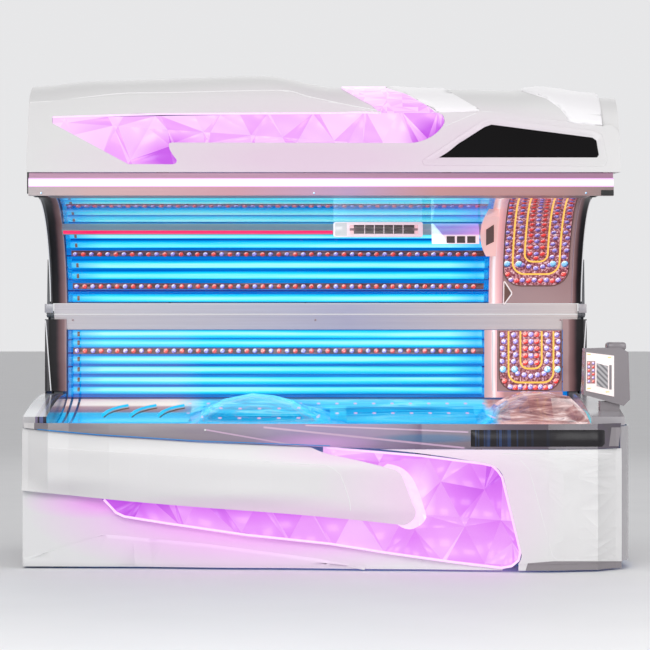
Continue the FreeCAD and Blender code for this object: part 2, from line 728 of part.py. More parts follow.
feet = []
for x in (rail_x0 + 120.0, 0.0, rail_x1 - 120.0):
    for row in (front_row, rear_row):
        d = row + frame_tube / 2
        pad = rod_z(x, d, 0.0, foot_pad_h, foot_r)
        stud = rod_z(x, d, foot_pad_h, frame_z, foot_stud_r)
        feet.append(pad.fuse(stud).removeSplitter())
parts["levelling_feet"] = group(feet)

# ---------------------------------------------------------------- hinge, arms and gas springs
lever_depth = hinge_depth + lever_back
lever_z = hinge_z - lever_drop


def with_knuckle(runs, x0, bore_r):
    """Plate with a knuckle on the hinge line."""
    plate = along_x(side_face(runs, x0), knuckle_len)
    hub = rod_x(x0, x0 + knuckle_len, hinge_depth, hinge_z, knuckle_r)
    bore = rod_x(x0 - 1.0, x0 + knuckle_len + 1.0, hinge_depth, hinge_z, bore_r)
    return plate.fuse(hub).cut(bore).removeSplitter()


def arm(x0, pin_x):
    """Arm bolted to the canopy's end, with its lever, and the pin on it for the gas spring."""
    runs = closed([(hinge_depth - 4.0, hinge_z + 10.0), (hinge_depth + 40.0, hinge_z - 14.0),
                   (lever_depth - 6.0, lever_z - 16.0), (lever_depth + 16.0, lever_z - 8.0),
                   (lever_depth + 16.0, lever_z + 14.0), (hinge_depth + 120.0, hinge_z + 70.0),
                   (hinge_depth + 130.0, hinge_z + 240.0), (hinge_depth + 20.0, hinge_z + 240.0)])
    pin = rod_x(pin_x, pin_x + lever_pin_len, lever_depth, lever_z, spring_pin_r)
    return [with_knuckle(runs, x0, hinge_pin_r + hinge_bore_gap), pin]


def hinge_bracket(x0):
    """Base knuckle on a plate bolted to the side of the rear post."""
    runs = closed([(hinge_depth + 2.0, hinge_z - 10.0), (hinge_depth + 6.0, hinge_z - 275.0),
                   (hinge_depth + 50.0, hinge_z - 275.0), (hinge_depth + 50.0, hinge_z - 70.0),
                   (hinge_depth + 12.0, hinge_z - 4.0)])
    return with_knuckle(runs, x0, hinge_pin_r)


lever_pin_len = knuckle_gap + spring_eye_len + 4.0
parts["hinge_brackets"] = group([hinge_bracket(bracket_l), hinge_bracket(bracket_r)])
parts["hinge_pins"] = group([
    rod_x(arm_l - 3.0, bracket_l + knuckle_len, hinge_depth, hinge_z, hinge_pin_r),
    rod_x(bracket_r, arm_r + knuckle_len + 3.0, hinge_depth, hinge_z, hinge_pin_r)])
parts["canopy_arms"] = group(arm(arm_l, arm_l + knuckle_len) + arm(arm_r, arm_r - lever_pin_len))

spring_dir = V(0, lever_depth - foot_depth, lever_z - foot_pin_z)
spring_span = spring_dir.Length
spring_dir.normalize()
neck_len = 24.0


def along_spring(x, start, length, r):
    foot = V(x, at(foot_depth), foot_pin_z)
    return Part.makeCylinder(r, length, foot + spring_dir * start, spring_dir)


def eye_at(x, depth, z, bore_r):
    """Eye of a gas spring and the bore that its pin goes through."""
    x0 = x - spring_eye_len / 2
    hub = rod_x(x0, x0 + spring_eye_len, depth, z, bore_r + spring_eye_wall)
    return hub, rod_x(x0 - 1.0, x0 + spring_eye_len + 1.0, depth, z, bore_r)


def spring_body(x):
    hub, bore = eye_at(x, foot_depth, foot_pin_z, spring_pin_r + running_gap)
    neck = along_spring(x, 0.0, neck_len + 2.0, spring_rod_r)
    body = along_spring(x, neck_len, spring_body_len, spring_body_r)
    rod_room = along_spring(x, neck_len + 10.0, spring_body_len, spring_rod_r + running_gap)
    return hub.fuse([neck, body]).cut(bore).cut(rod_room).removeSplitter()


def spring_rod(x):
    hub, bore = eye_at(x, lever_depth, lever_z, spring_pin_r + spring_eye_gap)
    rod = along_spring(x, rod_start, spring_span - rod_start, spring_rod_r)
    return rod.fuse(hub).cut(bore).removeSplitter()


rod_start = 180.0
parts["spring_bodies"] = group([spring_body(spring_l), spring_body(spring_r)])
parts["spring_rods"] = group([spring_rod(spring_l), spring_rod(spring_r)])

# ---------------------------------------------------------------- inside the cabinet
ballast_w = 60.0
ballast_pitch = 88.0
ballast_count = 8
ballast_x0 = cross_x[0] + frame_tube + 16.0
parts["ballasts"] = group([
    block(ballast_x0 + i * ballast_pitch, ballast_x0 + i * ballast_pitch + ballast_w, tray_rows[0] - 20.0,
          tray_rows[1] + 60.0, rail_top, rail_top + 60.0) for i in range(ballast_count)])
box_d0 = rear_in - 150.0
control_box = block(gland_x - box_half, gland_x + box_half, box_d0, rear_in - 4.0, rail_top, rail_top + 190.0)
gland = rod_y(gland_x, rear_in - 5.0, base_depth, gland_z, gland_r)
cable_room = rod_y(gland_x, rear_in - 60.0, base_depth + 1.0, gland_z, cable_r)
parts["control_box"] = control_box.fuse(gland).cut(cable_room)

fan_half = fan_r + 25.0
fan_wall = 56.0
fan_d0 = rear_in - 4.0 - fan_wall
fan_z = rail_top + fan_half
fan_shaft_r = 5.0
spoke = 5.0
shroud = block(fan_x - fan_half, fan_x + fan_half, fan_d0, fan_d0 + fan_wall, fan_z - fan_half, fan_z + fan_half)
shroud = shroud.cut(rod_y(fan_x, fan_d0 - 1.0, fan_d0 + fan_wall + 1.0, fan_z, fan_r + 4.0))
parts["fan_shroud"] = fuse([
    shroud,
    block(fan_x - fan_r - 6.0, fan_x + fan_r + 6.0, fan_d0, fan_d0 + 4.0, fan_z - spoke, fan_z + spoke),
    block(fan_x - spoke, fan_x + spoke, fan_d0, fan_d0 + 4.0, fan_z - fan_r - 6.0, fan_z + fan_r + 6.0),
    rod_y(fan_x, fan_d0, fan_d0 + 10.0, fan_z, 30.0),
    rod_y(fan_x, fan_d0 + 10.0, fan_d0 + 46.0, fan_z, fan_shaft_r)])
blades = [rod_y(fan_x, fan_d0 + 13.0, fan_d0 + 50.0, fan_z, fan_hub_r)]
for i in range(fan_blades):
    blade = block(fan_x - 3.0, fan_x + 3.0, fan_d0 + 17.0, fan_d0 + 47.0, fan_z + fan_hub_r - 6.0, fan_z + fan_r - 2.0)
    blade.rotate(V(fan_x, at(fan_d0 + 32.0), fan_z), V(0, 0, 1), 32.0)
    blade.rotate(V(fan_x, at(fan_d0), fan_z), V(0, 1, 0), 360.0 / fan_blades * i)
    blades.append(blade)
parts["fan_rotor"] = fuse(blades).cut(rod_y(fan_x, fan_d0, fan_d0 + 47.0, fan_z, fan_shaft_r + running_gap))

# ---------------------------------------------------------------- control pod
pod_runs = closed([(pod_left_x, pod_low_z + 40.0), (pod_right_x - 26.0, pod_low_z - 6.0),
                   (pod_right_x, pod_low_z + 20.0), (pod_right_x - 6.0, pod_high_z - 20.0),
                   (pod_right_x - 40.0, pod_high_z), (pod_left_x + 6.0, pod_high_z - 4.0)])
pod = along_y(front_face(pod_runs, pod_depth), pod_thick)
stalk = block(pod_right_x - 120.0, pod_right_x - 40.0, pod_depth + 20.0, pod_depth + 90.0, bench_z, pod_low_z + 12.0)
parts["control_pod"] = pod.fuse(stalk.cut(right_cap)).removeSplitter()
screen_runs = closed([
    (pod_left_x + 8.0, pod_low_z + 56.0), (pod_left_x + 124.0, pod_low_z + 32.0),
    (pod_left_x + 124.0, pod_high_z - 34.0), (pod_left_x + 10.0, pod_high_z - 20.0)])
parts["control_screen"] = along_y(front_face(screen_runs, pod_depth - 4.0), 4.0)

# ---------------------------------------------------------------- canopy outside
# heights on the canopy's front are measured up from its lower edge
crown = [(canopy_left_x, 373.0), (-947.0, 398.0), (-261.0, 418.0), (30.0, 370.0), (90.0, 372.0),
         (240.0, 372.0), (430.0, 364.0), (770.0, 358.0), (860.0, 372.0), (canopy_right_x, 342.0)]
fold = [(canopy_left_x, 294.0), (-769.0, 330.0), (-183.0, 340.0), (8.0, 292.0), (209.0, 252.0),
        (446.0, 250.0), (603.0, 254.0), (canopy_right_x, 196.0)]
canopy_stations = [canopy_left_x, -947.0, -600.0, -261.0, -80.0, 60.0, 240.0, 430.0, 603.0, 770.0, 860.0, 960.0,
                   canopy_right_x]


def canopy_face(z):
    """Depth of the canopy's front at a height."""
    return straight(z - canopy_skin_z, [(0.0, canopy_front_depth), (96.0, 139.0), (196.0, 171.0),
                                        (296.0, 208.0), (356.0, 258.0)])


def shell_line(x, inset):
    """Outside of the shell from its front fold over the top and down to its rear edge."""
    top = canopy_skin_z + blend(x, crown)
    front = canopy_skin_z + blend(x, fold)
    d0 = canopy_face(front)
    k = inset
    return [
        (d0 + k * 0.5, front - k),
        ((d0 + 430.0) / 2 - 20.0 + k * 0.3, front + (top - front) * 0.72 - k),
        (430.0, top - k),
        (650.0, top - 30.0 - k),
        (hinge_depth - 120.0 - k * 0.5, canopy_skin_z + 208.0 - k * 0.8),
        (hinge_depth + 100.0 - k * 0.8, canopy_skin_z - 24.0 - k * 0.6),
        (hinge_depth + 205.0 - k, hinge_z + 295.0 - k * 0.2),
        (hinge_depth + 232.0 - k, canopy_foot_z),
    ]


parts["canopy_shell"] = skin(canopy_stations, lambda x: shell_line(x, 0.0), lambda x: shell_line(x, sheet))

jewel_top_runs = [
    [(-1118.0, 226.0), (-1118.0, 202.0)],
    [(-1118.0, 202.0), (-806.0, 33.0)],
    [(-806.0, 33.0), (-624.0, 32.0)],
    [(-624.0, 32.0), (-610.0, 44.0), (-618.0, 60.0)],
    [(-618.0, 60.0), (-640.0, 96.0), (-642.0, 116.0), (-626.0, 122.0)],
    [(-626.0, 122.0), (330.0, 120.0)],
    [(330.0, 120.0), (362.0, 124.0), (450.0, 172.0), (472.0, 204.0)],
    [(472.0, 204.0), (470.0, 228.0), (446.0, 252.0)],
    [(446.0, 252.0), (200.0, 252.0)],
    [(200.0, 252.0), (-20.0, 242.0)],
    [(-20.0, 242.0), (-766.0, 242.0)],
    [(-766.0, 242.0), (-1118.0, 226.0)],
]
sign_runs = [
    [(392.0, 46.0), (450.0, 62.0), (640.0, 202.0), (676.0, 212.0)],
    [(676.0, 212.0), (1090.0, 148.0)],
    [(1090.0, 148.0), (1116.0, 126.0)],
    [(1116.0, 126.0), (1124.0, 36.0)],
    [(1124.0, 36.0), (1110.0, 28.0)],
    [(1110.0, 28.0), (400.0, 32.0)],
    [(400.0, 32.0), (392.0, 46.0)],
]
fascia_heights = [canopy_skin_z + h for h in (0.0, 96.0, 196.0, 296.0, 346.0)]
fascia_stations = [canopy_left_x, -600.0, 0.0, 600.0, canopy_end_x]


def fascia_at(setback, wall):
    return wall_of(lambda x, z: canopy_face(z) + setback, fascia_stations, fascia_heights, wall)


front_outline = [
    [(canopy_left_x, 0.0), (canopy_end_x, 0.0)],
    [(canopy_end_x, 0.0), (canopy_end_x, 156.0), (canopy_end_x - 14.0, 182.0), (canopy_right_x, 189.0)],
    [(canopy_right_x, 189.0), (603.0, 246.0)],
    [(603.0, 246.0), (446.0, 242.0)],
    [(446.0, 242.0), (209.0, 244.0)],
    [(209.0, 244.0), (8.0, 284.0)],
    [(8.0, 284.0), (-183.0, 332.0)],
    [(-183.0, 332.0), (-769.0, 322.0)],
    [(-769.0, 322.0), (canopy_left_x, 286.0)],
    [(canopy_left_x, 286.0), (canopy_left_x, 0.0)],
]


def raised(runs):
    """Runs on the canopy's front, put at their real height."""
    return [[(x, canopy_skin_z + h) for x, h in run] for run in runs]


fascia = cut_out(fascia_at(0.0, sheet), raised(front_outline))
for runs in (jewel_top_runs, sign_runs):
    fascia = fascia.cut(along_y(front_face(raised(runs), -200.0), 900.0))
parts["canopy_fascia"] = fascia
parts["canopy_shell"] = parts["canopy_shell"].cut(fascia)
parts["canopy_jewel_panel"] = cut_out(fascia_at(sheet + 7.0, 6.0), raised(jewel_top_runs))
parts["canopy_sign_panel"] = cut_out(fascia_at(sheet + 1.0, 5.0), raised(sign_runs))

# bulged right-hand end of the front
end_setback = 13.0                  # behind the fascia and the sign panel
end_low = (canopy_front_depth + end_setback, canopy_skin_z)
end_top = canopy_skin_z + 322.0
end_high = (canopy_face(end_top - 136.0) + end_setback, end_top - 136.0)
end_runs = [
    [end_low, end_high],
    [end_high, (250.0, end_top - 46.0), (430.0, end_top)],
    [(430.0, end_top), (600.0, end_top - 46.0), (640.0, end_top - 166.0), (600.0, end_top - 306.0)],
    [(600.0, end_top - 306.0), end_low],
]
end_wall = side_face(end_runs, canopy_right_x + 1.0)
end_room = end_wall.copy()
end_room.scale(0.97, end_wall.CenterOfMass)
end_body = along_x(end_wall, canopy_end_x - canopy_right_x - 1.0)
end_room.translate(V(-1, 0, 0))
parts["canopy_right_end"] = end_body.cut(along_x(end_room, canopy_end_x - canopy_right_x - sheet))

# rim with its inner flange and web, and the light bar that lies in it
rim_left_x = canopy_left_x + 10.0
rim_right_x = canopy_end_x - 30.0
web_d0 = rim_depth + bar_recess + bar_thick
flange_back = on_ring(tunnel_r, ring_end)[0] - flange_gap
parts["canopy_rim"] = fuse([
    block(rim_left_x, rim_right_x, rim_depth, rim_depth + rim_thick, rim_z, rim_z + rim_h),
    block(rim_left_x, rim_right_x, web_d0, web_d0 + 6.0, rim_z + rim_h - 1.0, canopy_skin_z - 1.0),
    block(tunnel_left_x + 1.0, tunnel_right_x - 1.0, rim_depth + rim_thick - 1.0, flange_back, rim_z + 4.0,
          rim_z + 8.0)])
parts["canopy_light_bar"] = block(rim_left_x, rim_right_x, rim_depth + bar_recess, web_d0, rim_z + rim_h,
                                  rim_z + rim_h + bar_h)

# ---------------------------------------------------------------- canopy tunnel side


def shell_inside(x, gap):
    return [(d, z) for d, z in shell_line(x, sheet + gap)]


def side_cheek(x0, x1, shell_x):
    """Closed end of the canopy: outside the tunnel, inside the shell."""
    edge = shell_inside(shell_x, 3.0)
    front = rim_depth + rim_thick + 2.0
    runs = [edge, [edge[-1], (on_ring(tunnel_r, ring_start)[0], canopy_foot_z)],
            [(on_ring(tunnel_r, ring_start)[0], canopy_foot_z), (on_ring(tunnel_r, ring_end)[0], rim_z + 10.0)],
            [(on_ring(tunnel_r, ring_end)[0], rim_z + 10.0), (front, rim_z + 10.0)],
            [(front, rim_z + 10.0), (front, canopy_skin_z + 20.0)],
            [(front, canopy_skin_z + 20.0), edge[0]]]
    cheek = along_x(side_face(runs, x0), x1 - x0)
    return cheek.cut(rod_x(x0 - 1.0, x1 + 1.0, tunnel_depth, tunnel_z, tunnel_r))


side_wall = 8.0
cheek_l = canopy_left_x + side_wall
cheek_r = canopy_right_x - side_wall
left_lip = ring(tunnel_r, tunnel_r + 10.0, ring_start, ring_end, cheek_l - 1.0, tunnel_left_x)
right_lip = ring(tunnel_r, tunnel_r + 10.0, ring_start, ring_end, tunnel_right_x, cheek_r + 1.0)
parts["canopy_side_left"] = side_cheek(canopy_left_x, cheek_l, canopy_left_x).fuse(left_lip)
parts["canopy_side_right"] = side_cheek(cheek_r, canopy_right_x, canopy_right_x).fuse(right_lip)

dome_slots = (1, 4, 10, 13)
lamp_slots = [i for i in range(slot_total) if i not in dome_slots]
lamp_places = [on_ring(lamp_circle_r, first_lamp_deg + lamp_pitch_deg * i) for i in lamp_slots]
parts["canopy_lamps"] = group([lamp(lamp_left_x, lamp_right_x, d, z) for d, z in lamp_places])
holders = []
for i in lamp_slots:
    angle = first_lamp_deg + lamp_pitch_deg * i
    d, z = on_ring(lamp_circle_r, angle)
    for x in (holder_left_x, lamp_right_x + 1.0):
        holder = block(x, x + holder_len, d - 14.0, d + 22.0, z - 14.0, z + 14.0)
        holder.rotate(V(x, at(d), z), V(1, 0, 0), angle)
        holders.append(holder)
parts["canopy_lampholders"] = group(holders)
strips = []
for i in dome_slots:
    angle = first_lamp_deg + lamp_pitch_deg * i
    d, z = on_ring(lamp_circle_r, angle)
    strip = dome_row(lamp_right_x, d, z)
    strip.rotate(V(0, at(d), z), V(1, 0, 0), angle)
    strips.append(strip)
parts["canopy_led_strips"] = group(strips)
parts["canopy_reflector"] = ring(reflector_r, reflector_r + reflector_wall, ring_start, ring_end,
                                 tunnel_left_x + 1.0, tunnel_right_x - 1.0)
parts["canopy_acrylic"] = ring(tunnel_r, tunnel_r + clear_sheet, ring_start, ring_end, tunnel_left_x + 1.0,
                               704.0)
upper_face_left = 765.0
parts["upper_face_trim"] = ring(tunnel_r - 6.0, tunnel_r + 10.0, ring_start, ring_end, 705.0,
                                upper_face_left - 1.0)
parts["upper_face_panel"] = ring(tunnel_r + 2.0, tunnel_r + 8.0, ring_start, ring_end, upper_face_left,
                                 tunnel_right_x - 1.0)

# rear rail of the canopy, standing on the hinge line
up_rail_low = hinge_z + rail_gap
parts["canopy_hinge_rail"] = block(rail_left_x, rail_right_x, hinge_depth + 1.0, hinge_depth + rail_thick,
                                   up_rail_low, up_rail_low + rail_h)

rib_t = 3.0
rib_front = (240.0, canopy_skin_z + 16.0)
ribs = []
for x in (-700.0, -100.0, 500.0):
    edge = shell_inside(x, 4.0)
    inner = (on_ring(reflector_r, 12.0)[0], canopy_foot_z)
    rib = along_x(side_face([edge, [edge[-1], inner], [inner, rib_front], [rib_front, edge[0]]], x), rib_t)
    hollow = rod_x(x - 1.0, x + rib_t + 1.0, tunnel_depth, tunnel_z, reflector_r + reflector_wall)
    ribs.append(rib.cut(hollow))
parts["canopy_ribs"] = group(ribs)

# ---------------------------------------------------------------- air bar, nozzles and inner control
bar_mid = on_ring(math.sqrt(tunnel_r ** 2 - (breeze_h / 2) ** 2) - breeze_thick / 2, bar_angle)


def turned(shape, depth, z, angle):
    shape.rotate(V(0, at(depth), z), V(1, 0, 0), angle)
    return shape


bar = block(tunnel_left_x + 1.0, 668.0, bar_mid[0] - breeze_thick / 2, bar_mid[0] + breeze_thick / 2,
            bar_mid[1] - breeze_h / 2, bar_mid[1] + breeze_h / 2)
bar = turned(bar, bar_mid[0], bar_mid[1], bar_angle)
bar_z = bar_mid[1]
nozzle_z = bar_z - nozzle_drop
nozzle_back = bar_mid[0] - breeze_thick / 2 + 6.0
shell_d0 = nozzle_back - nozzle_depth
slot_x0 = nozzle_left_x + 70.0
slot_x1 = nozzle_right_x - 20.0
slot_z0 = nozzle_z - 19.0
slot_z1 = nozzle_z + 19.0
nozzle = block(nozzle_left_x, nozzle_right_x, shell_d0, nozzle_back, nozzle_z - nozzle_h / 2,
               nozzle_z + nozzle_h / 2)
nozzle = nozzle.makeFillet(9.0, [e for e in nozzle.Edges if abs(e.tangentAt(e.FirstParameter).y) > 0.9])
nozzle = nozzle.cut(block(slot_x0, slot_x1, shell_d0 - 1.0, nozzle_back - 8.0, slot_z0, slot_z1))
vane_d = shell_d0 + 15.0
first_vane = 0.5 * (slot_x0 + slot_x1) - vane_pitch * (vane_count - 1) / 2
vane_x = [first_vane + i * vane_pitch for i in range(vane_count)]
for x in vane_x:
    nozzle = nozzle.cut(rod_z(x, vane_d, slot_z0 - 5.0, slot_z1 + 5.0, vane_pin_r + running_gap))
nozzle = nozzle.cut(bar)
parts["body_nozzle"] = nozzle
parts["breeze_bar"] = bar
for n, x in enumerate(vane_x, 1):
    blade = block(x - vane_thick / 2, x + vane_thick / 2, vane_d - 10.0, vane_d + 14.0, slot_z0 + 1.0, slot_z1 - 1.0)
    pin = rod_z(x, vane_d, slot_z0 - 4.0, slot_z1 + 4.0, vane_pin_r)
    parts["nozzle_vane_%d" % n] = blade.fuse(pin).removeSplitter()

scoop_x0 = 445.0
scoop_x1 = 647.0
scoop_runs = [
    [(bar_mid[0] - 14.0, bar_z + 24.0), (bar_mid[0] - 60.0, bar_z + 4.0), (bar_mid[0] - 96.0, bar_z - 24.0)],
    [(bar_mid[0] - 96.0, bar_z - 24.0), (bar_mid[0] - 84.0, bar_z - 66.0)],
    [(bar_mid[0] - 84.0, bar_z - 66.0), (bar_mid[0] - 20.0, bar_z - 34.0)],
    [(bar_mid[0] - 20.0, bar_z - 34.0), (bar_mid[0] - 14.0, bar_z + 24.0)],
]
scoop = along_x(side_face(scoop_runs, scoop_x0), scoop_x1 - scoop_x0)
scoop = scoop.cut(bar)
for i in range(3):
    x = scoop_x0 + 62.0 + i * 44.0
    scoop = scoop.cut(block(x, x + 36.0, bar_mid[0] - 110.0, bar_mid[0] - 60.0, bar_z - 52.0, bar_z - 34.0))
parts["face_nozzle"] = max(scoop.Solids, key=lambda s: s.Volume)

control_a0, control_a1 = 35.0, 68.0
crescent = ring(tunnel_r - 44.0, tunnel_r - 8.0, control_a0, control_a1, 672.0, 728.0)
thumb_room = ring(tunnel_r - 32.0, tunnel_r, control_a0 - 2.0, control_a0 + 11.0, 660.0, 740.0)
parts["inner_control"] = crescent.cut(thumb_room)

# ---------------------------------------------------------------- write
for name, shape in parts.items():
    pieces = solids_of(shape)
    out = pieces[0] if len(pieces) == 1 else Part.makeCompound(pieces)
    for solid in pieces:
        if not solid.isValid():
            print("not valid:", name)
    out.exportStep("parts/%s.step" % name)
box = Part.makeCompound(list(parts.values())).BoundBox
print(len(parts), "nodes; box", [round(v, 1) for v in (box.XMin, box.XMax, box.YMin, box.YMax, box.ZMin, box.ZMax)])
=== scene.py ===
import bpy
import math
import random
from contextlib import contextmanager
from mathutils import Matrix, Vector
from mathutils.bvhtree import BVHTree


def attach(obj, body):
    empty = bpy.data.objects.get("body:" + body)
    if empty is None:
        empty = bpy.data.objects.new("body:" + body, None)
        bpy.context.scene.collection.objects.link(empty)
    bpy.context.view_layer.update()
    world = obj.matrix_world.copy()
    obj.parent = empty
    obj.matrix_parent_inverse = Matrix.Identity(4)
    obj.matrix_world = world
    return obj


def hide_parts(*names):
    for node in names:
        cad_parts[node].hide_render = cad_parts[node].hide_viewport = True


# Clamshell tanning bed.  Metres; X along the bed, -Y is the open side, +Z up.
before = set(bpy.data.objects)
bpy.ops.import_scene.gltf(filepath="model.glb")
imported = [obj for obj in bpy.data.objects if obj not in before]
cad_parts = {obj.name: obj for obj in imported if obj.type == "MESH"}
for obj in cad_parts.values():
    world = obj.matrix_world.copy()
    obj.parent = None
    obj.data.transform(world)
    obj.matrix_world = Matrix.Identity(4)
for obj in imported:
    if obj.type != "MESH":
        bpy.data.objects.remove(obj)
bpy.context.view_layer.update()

FRONT_Y = -0.65                    # foremost line of the cabinet
EYE = Vector((-0.012, -10.65, 0.992))   # camera, and the point that outlines are laid out from
TUNNEL_DEPTH = 0.496
TUNNEL_Z = 1.021
TUNNEL_R = 0.505
LAMP_CIRCLE_R = 0.53
FIRST_LAMP_DEG = 9.4
LAMP_PITCH_DEG = 5.6
LAMP_LEFT_X = -1.118
LAMP_RIGHT_X = 0.684
DOME_PITCH = 0.0355
DOME_R = 0.0112
DOME_STAND = 0.0101                 # lenses before the tubes' middle line
DOME_ROWS = (1, 4, 10, 13)
WALL_DOME_Z = 0.8736
WALL_LAMP_DEPTH = 1.024
CANOPY_LOW_Z = 1.604                # lower edge of the canopy's white front
# EDGE_WIRE is the thickness of the painted highlight lines, glowing white beads along mouldings, and of the
# face panels' rims
EDGE_WIRE = 0.005                   # bright edges along mouldings
FACE_DEPTH = 0.05                   # depth that outlines on the cabinet's front are given for
TOP_DEPTH = 0.25                    # the same for the canopy's top


def at(depth):
    """Y of a point that lies this far behind the foremost line."""
    return FRONT_Y + depth


def level(depth, pairs):
    """Points of one depth from pairs of X and Z."""
    return [(x, depth, z) for x, z in pairs]


def row(start, step, count):
    return [start + step * n for n in range(count)]


def on_ring(r, degrees):
    """Depth and height on a circle about the tunnel's axis; 0 points back, 90 up."""
    a = math.radians(degrees)
    return TUNNEL_DEPTH + r * math.cos(a), TUNNEL_Z + r * math.sin(a)


def between(x, table, ease=False):
    """Value at x on runs between (x, value) pairs, straight or eased."""
    for (xa, va), (xb, vb) in zip(table, table[1:]):
        if x <= xb:
            t = (x - xa) / (xb - xa)
            return va + (vb - va) * (t * t * (3 - 2 * t) if ease else t)
    return table[-1][1]


def canopy_face(z):
    """Depth of the canopy's leaning front at a height."""
    return between(z - CANOPY_LOW_Z, ((-1.0, 0.11), (0.0, 0.11), (0.096, 0.139), (0.196, 0.171),
                                      (0.296, 0.208), (0.356, 0.258)))


def rgb(*colour):
    """Colour from plain 0 to 255 screen values."""
    return tuple(v / 255 / 12.92 if v <= 10 else ((v / 255 + 0.055) / 1.055) ** 2.4 for v in colour)


# ---------------------------------------------------------------- camera, floor and light
def add_object(name, data, place, turn):
    thing = bpy.data.objects.new(name, data)
    thing.location = place
    thing.rotation_euler = turn
    bpy.context.collection.objects.link(thing)
    return thing


def set_camera():
    data = bpy.data.cameras.new("camera")
    data.sensor_width = 36.0
    data.lens = 139.0
    data.shift_y = -0.0015
    bpy.context.scene.camera = add_object("camera", data, EYE, (math.radians(90), 0, 0))


def soft_lamp(name, place, aim, width, height, power):
    data = bpy.data.lights.new(name, "AREA")
    data.shape = "RECTANGLE"
    data.size = width
    data.size_y = height
    data.energy = power
    add_object(name, data, place, (Vector(aim) - Vector(place)).to_track_quat("-Z", "Y").to_euler())


def set_studio():
    """Even pale light from all round, and a slightly darker plain backdrop where a ray looks out."""
    bpy.context.scene.view_settings.view_transform = "Standard"
    world = bpy.data.worlds.new("studio")
    bpy.context.scene.world = world
    world.use_nodes = True
    tree = world.node_tree
    light = tree.nodes["Background"]
    feed(tree, light.inputs["Color"], (0.92, 0.92, 0.93))
    feed(tree, light.inputs["Strength"], 0.52)
    seen = add_node(tree, "Background", {"Color": (0.8, 0.8, 0.81)})
    rays = add_node(tree, "LightPath", {}).outputs
    plain = rays["Is Camera Ray"]
    for kind in ("Is Glossy Ray", "Is Transmission Ray"):
        plain = add_node(tree, "Math", {0: plain, 1: rays[kind]}, operation="MAXIMUM").outputs[0]
    mix = add_node(tree, "MixShader", {0: plain, 1: light.outputs[0], 2: seen.outputs[0]})
    feed(tree, tree.nodes["World Output"].inputs[0], mix.outputs[0])
    soft_lamp("key", (-1.1, -5.2, 2.5), (0, 0, 0.8), 3.2, 2.0, 96)
    soft_lamp("fill", (3.4, -4.2, 2.2), (0.2, 0, 0.8), 2.6, 2.6, 66)
    soft_lamp("rear", (0.5, 5.8, 5.2), (0, 0.4, 1.0), 6.0, 5.0, 60)
    soft_lamp("top", (0, -1.4, 5.6), (0, 0, 1.0), 4.4, 2.0, 22)


def floor():
    pick_none()
    bpy.ops.mesh.primitive_plane_add(size=120, location=(0, 20, 0))
    ground = start_piece("floor")
    ground.data.materials.append(moulded("studio floor", (0.82, 0.82, 0.83), 0.6, 0.0, 0.05, 0.012).material)


# ---------------------------------------------------------------- modelling helpers
def pick_none():
    bpy.ops.object.select_all(action="DESELECT")


def pick_all():
    """Selects everything of the piece being edited."""
    bpy.ops.mesh.select_all(action="SELECT")


def lone(piece):
    """Leaves only this piece selected and active."""
    pick_none()
    piece.select_set(True)
    bpy.context.view_layer.objects.active = piece


@contextmanager
def editing(piece, whole=True):
    """Edit mode on one piece, with all its faces selected or as they were."""
    lone(piece)
    bpy.context.tool_settings.mesh_select_mode = (False, False, True)
    bpy.ops.object.mode_set(mode="EDIT")
    if whole:
        pick_all()
    yield
    bpy.ops.object.mode_set(mode="OBJECT")


def settle():
    """Puts the selected piece's place and turn in its mesh."""
    bpy.ops.object.transform_apply(location=True, rotation=True, scale=True)


def call(piece, name):
    piece.name = name
    piece.data.name = name
    return piece


def start_piece(name):
    """Names the primitive that was just added and puts its place in its mesh."""
    piece = call(bpy.context.object, name)
    settle()
    return piece


def modify(piece, kind, **settings):
    """Adds a modifier and applies it."""
    lone(piece)
    mod = piece.modifiers.new(kind.lower(), kind)
    for key, value in settings.items():
        setattr(mod, key, value)
    bpy.ops.object.modifier_apply(modifier=mod.name)


def smooth(piece, degrees=35.0):
    lone(piece)
    bpy.ops.object.shade_smooth_by_angle(angle=math.radians(degrees))


def block(name, x, depth, z, round_r, steps=3):
    """Rounded block between two X, two depths and two heights."""
    pick_none()
    middle = ((x[0] + x[1]) / 2, at((depth[0] + depth[1]) / 2), (z[0] + z[1]) / 2)
    bpy.ops.mesh.primitive_cube_add(size=1.0, location=middle)
    bpy.context.object.scale = (x[1] - x[0], depth[1] - depth[0], z[1] - z[0])
    piece = start_piece(name)
    modify(piece, "BEVEL", width=round_r, segments=steps, limit_method="ANGLE")
    smooth(piece)
    return piece


def turned(piece, depth, z, degrees):
    """Turns a piece about an X line and keeps the turn in its mesh."""
    spot = Matrix.Translation((0, at(depth), z))
    lone(piece)
    piece.matrix_world = spot @ Matrix.Rotation(math.radians(degrees), 4, "X") @ spot.inverted()
    settle()


def joined(name, pieces):
    """One piece from several, named."""
    lone(pieces[0])
    for piece in pieces:
        piece.select_set(True)
    bpy.ops.object.join()
    return call(pieces[0], name)


def wire(name, spots, thick, closed=False):
    """Round bead along spots of (x, y, z)."""
    data = bpy.data.curves.new(name, "CURVE")
    data.dimensions = "3D"
    data.bevel_depth = thick / 2
    data.bevel_resolution = 2
    spline = data.splines.new("POLY")
    spline.points.add(len(spots) - 1)
    for point, spot in zip(spline.points, spots):
        point.co = (*spot, 1.0)
    spline.use_cyclic_u = closed
    data.use_fill_caps = True
    lone(add_object(name, data, (0, 0, 0), (0, 0, 0)))
    bpy.ops.object.convert(target="MESH")
    piece = bpy.context.object
    smooth(piece, 50.0)
    return piece


